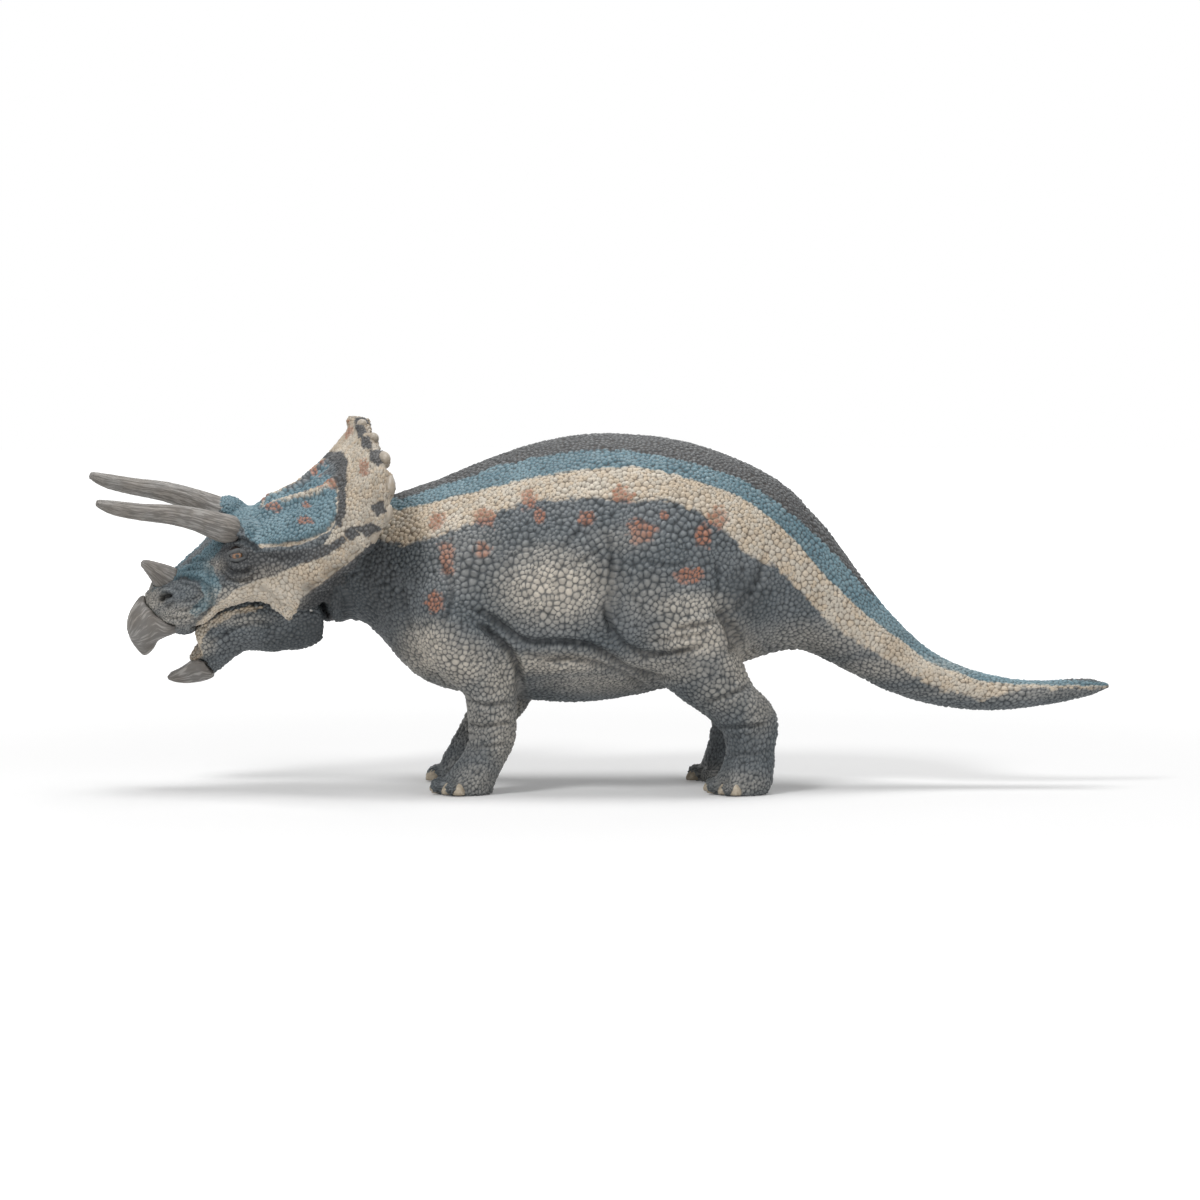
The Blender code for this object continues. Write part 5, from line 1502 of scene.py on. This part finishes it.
class DINOSAUR_OT_stage(bpy.types.Operator):
    """Sets the floor, the lamps and the camera"""
    bl_idname = "dinosaur.stage"
    bl_label = "Stage"

    def execute(self, context):
        scene = context.scene
        scene.view_settings.view_transform = "Standard"
        work = bmesh.new()
        bmesh.ops.create_circle(work, cap_ends=True, segments=96, radius=FLOOR_RADIUS)
        mesh = mesh_of(work, "floor")
        mesh.materials.append(white_floor())
        floor = keep(mesh, "floor")
        floor.location = (0.0, 0.0, LOW.z - FLOOR_GAP)
        white_world(scene)
        for name, spot, size, power in LAMPS:
            lamp = bpy.data.lights.new(name, "AREA")
            lamp.shape = "SQUARE"
            lamp.size = size
            lamp.energy = power
            holder = keep(lamp, name)
            holder.location = spot
            holder.rotation_euler = (LAMP_AIM - Vector(spot)).to_track_quat("-Z", "Y").to_euler()
        place, right, up, ahead = view_axes()
        camera = bpy.data.cameras.new("camera")
        camera.sensor_width = SENSOR_WIDTH_MM
        camera.lens = SENSOR_WIDTH_MM * PIXELS_PER_METRE * VIEW_DISTANCE / PIXELS_ACROSS
        camera.clip_start = 0.01
        scene.camera = keep(camera, "camera")
        scene.camera.matrix_world = Matrix.Translation(place) @ Matrix((right, up, -ahead)).transposed().to_4x4()
        return {"FINISHED"}


def seen_straight(tree):
    """One where a ray comes from the eye, a mirror or through glass."""
    rays = add_node(tree, "ShaderNodeLightPath").outputs
    glossy = sums(tree, "MAXIMUM", rays["Is Glossy Ray"], rays["Is Transmission Ray"])
    return sums(tree, "MAXIMUM", rays["Is Camera Ray"], glossy)


def white_floor():
    """White paper sweep: matt, and lit up to plain white away from the figure's shadow."""
    material, tree = new_material("white_paper")
    paper = add_node(tree, "ShaderNodeBsdfDiffuse", {"Color": (0.80, 0.80, 0.80, 1.0)})
    place = add_node(tree, "ShaderNodeTexCoord").outputs["Object"]
    away = add_node(tree, "ShaderNodeVectorMath", {0: place}, operation="LENGTH").outputs["Value"]
    glow = eased(tree, away, 0.12, 0.8, 0.16, 1.0)
    light = add_node(tree, "ShaderNodeEmission", {"Color": (1.0, 1.0, 1.0, 1.0),
                                                  "Strength": sums(tree, "MULTIPLY", glow, seen_straight(tree))})
    both = add_node(tree, "ShaderNodeAddShader", {0: paper.outputs[0], 1: light.outputs[0]})
    add_node(tree, "ShaderNodeOutputMaterial", {"Surface": both.outputs[0]})
    return material


def white_world(scene):
    """Soft even light from all round, and plain white behind the figure."""
    world = bpy.data.worlds.new("white_studio")
    scene.world = world
    world.use_nodes = True
    tree = world.node_tree
    tree.nodes.clear()
    strength = eased(tree, seen_straight(tree), 0.0, 1.0, AMBIENT_LIGHT, 1.0)
    light = add_node(tree, "ShaderNodeBackground", {"Color": (1.0, 1.0, 1.0, 1.0), "Strength": strength})
    add_node(tree, "ShaderNodeOutputWorld", {"Surface": light.outputs[0]})


class DINOSAUR_PT_panel(bpy.types.Panel):
    """Lists the pieces of the figure"""
    bl_idname = "DINOSAUR_PT_panel"
    bl_label = "Horned dinosaur figure"
    bl_space_type = "VIEW_3D"
    bl_region_type = "UI"
    bl_category = "Dinosaur"

    def draw(self, context):
        for operator in OPERATORS:
            self.layout.operator(operator.bl_idname)
        for key in DINOSAUR_PG_paint.__annotations__:
            self.layout.prop(context.scene.dinosaur_paint, key)
        for key in DINOSAUR_PG_sizes.__annotations__:
            self.layout.prop(context.scene.dinosaur_sizes, key)


OPERATORS = (DINOSAUR_OT_body, DINOSAUR_OT_head, DINOSAUR_OT_bosses, DINOSAUR_OT_jaw, DINOSAUR_OT_horns,
             DINOSAUR_OT_eyes, DINOSAUR_OT_claws, DINOSAUR_OT_stage)
CLASSES = (DINOSAUR_PG_paint, DINOSAUR_PG_sizes) + OPERATORS + (DINOSAUR_PT_panel,)


def register():
    for item in CLASSES:
        bpy.utils.register_class(item)
    bpy.types.Scene.dinosaur_paint = bpy.props.PointerProperty(type=DINOSAUR_PG_paint)
    bpy.types.Scene.dinosaur_sizes = bpy.props.PointerProperty(type=DINOSAUR_PG_sizes)


def unregister():
    del bpy.types.Scene.dinosaur_sizes
    del bpy.types.Scene.dinosaur_paint
    for item in reversed(CLASSES):
        bpy.utils.unregister_class(item)


def main():
    register()
    bpy.ops.dinosaur.body()
    bpy.ops.dinosaur.head()
    bpy.ops.dinosaur.bosses()
    bpy.ops.dinosaur.jaw()
    bpy.ops.dinosaur.horns()
    bpy.ops.dinosaur.eyes()
    bpy.ops.dinosaur.claws()
    bpy.ops.dinosaur.stage()
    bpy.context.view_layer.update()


if __name__ == "__main__":
    main()
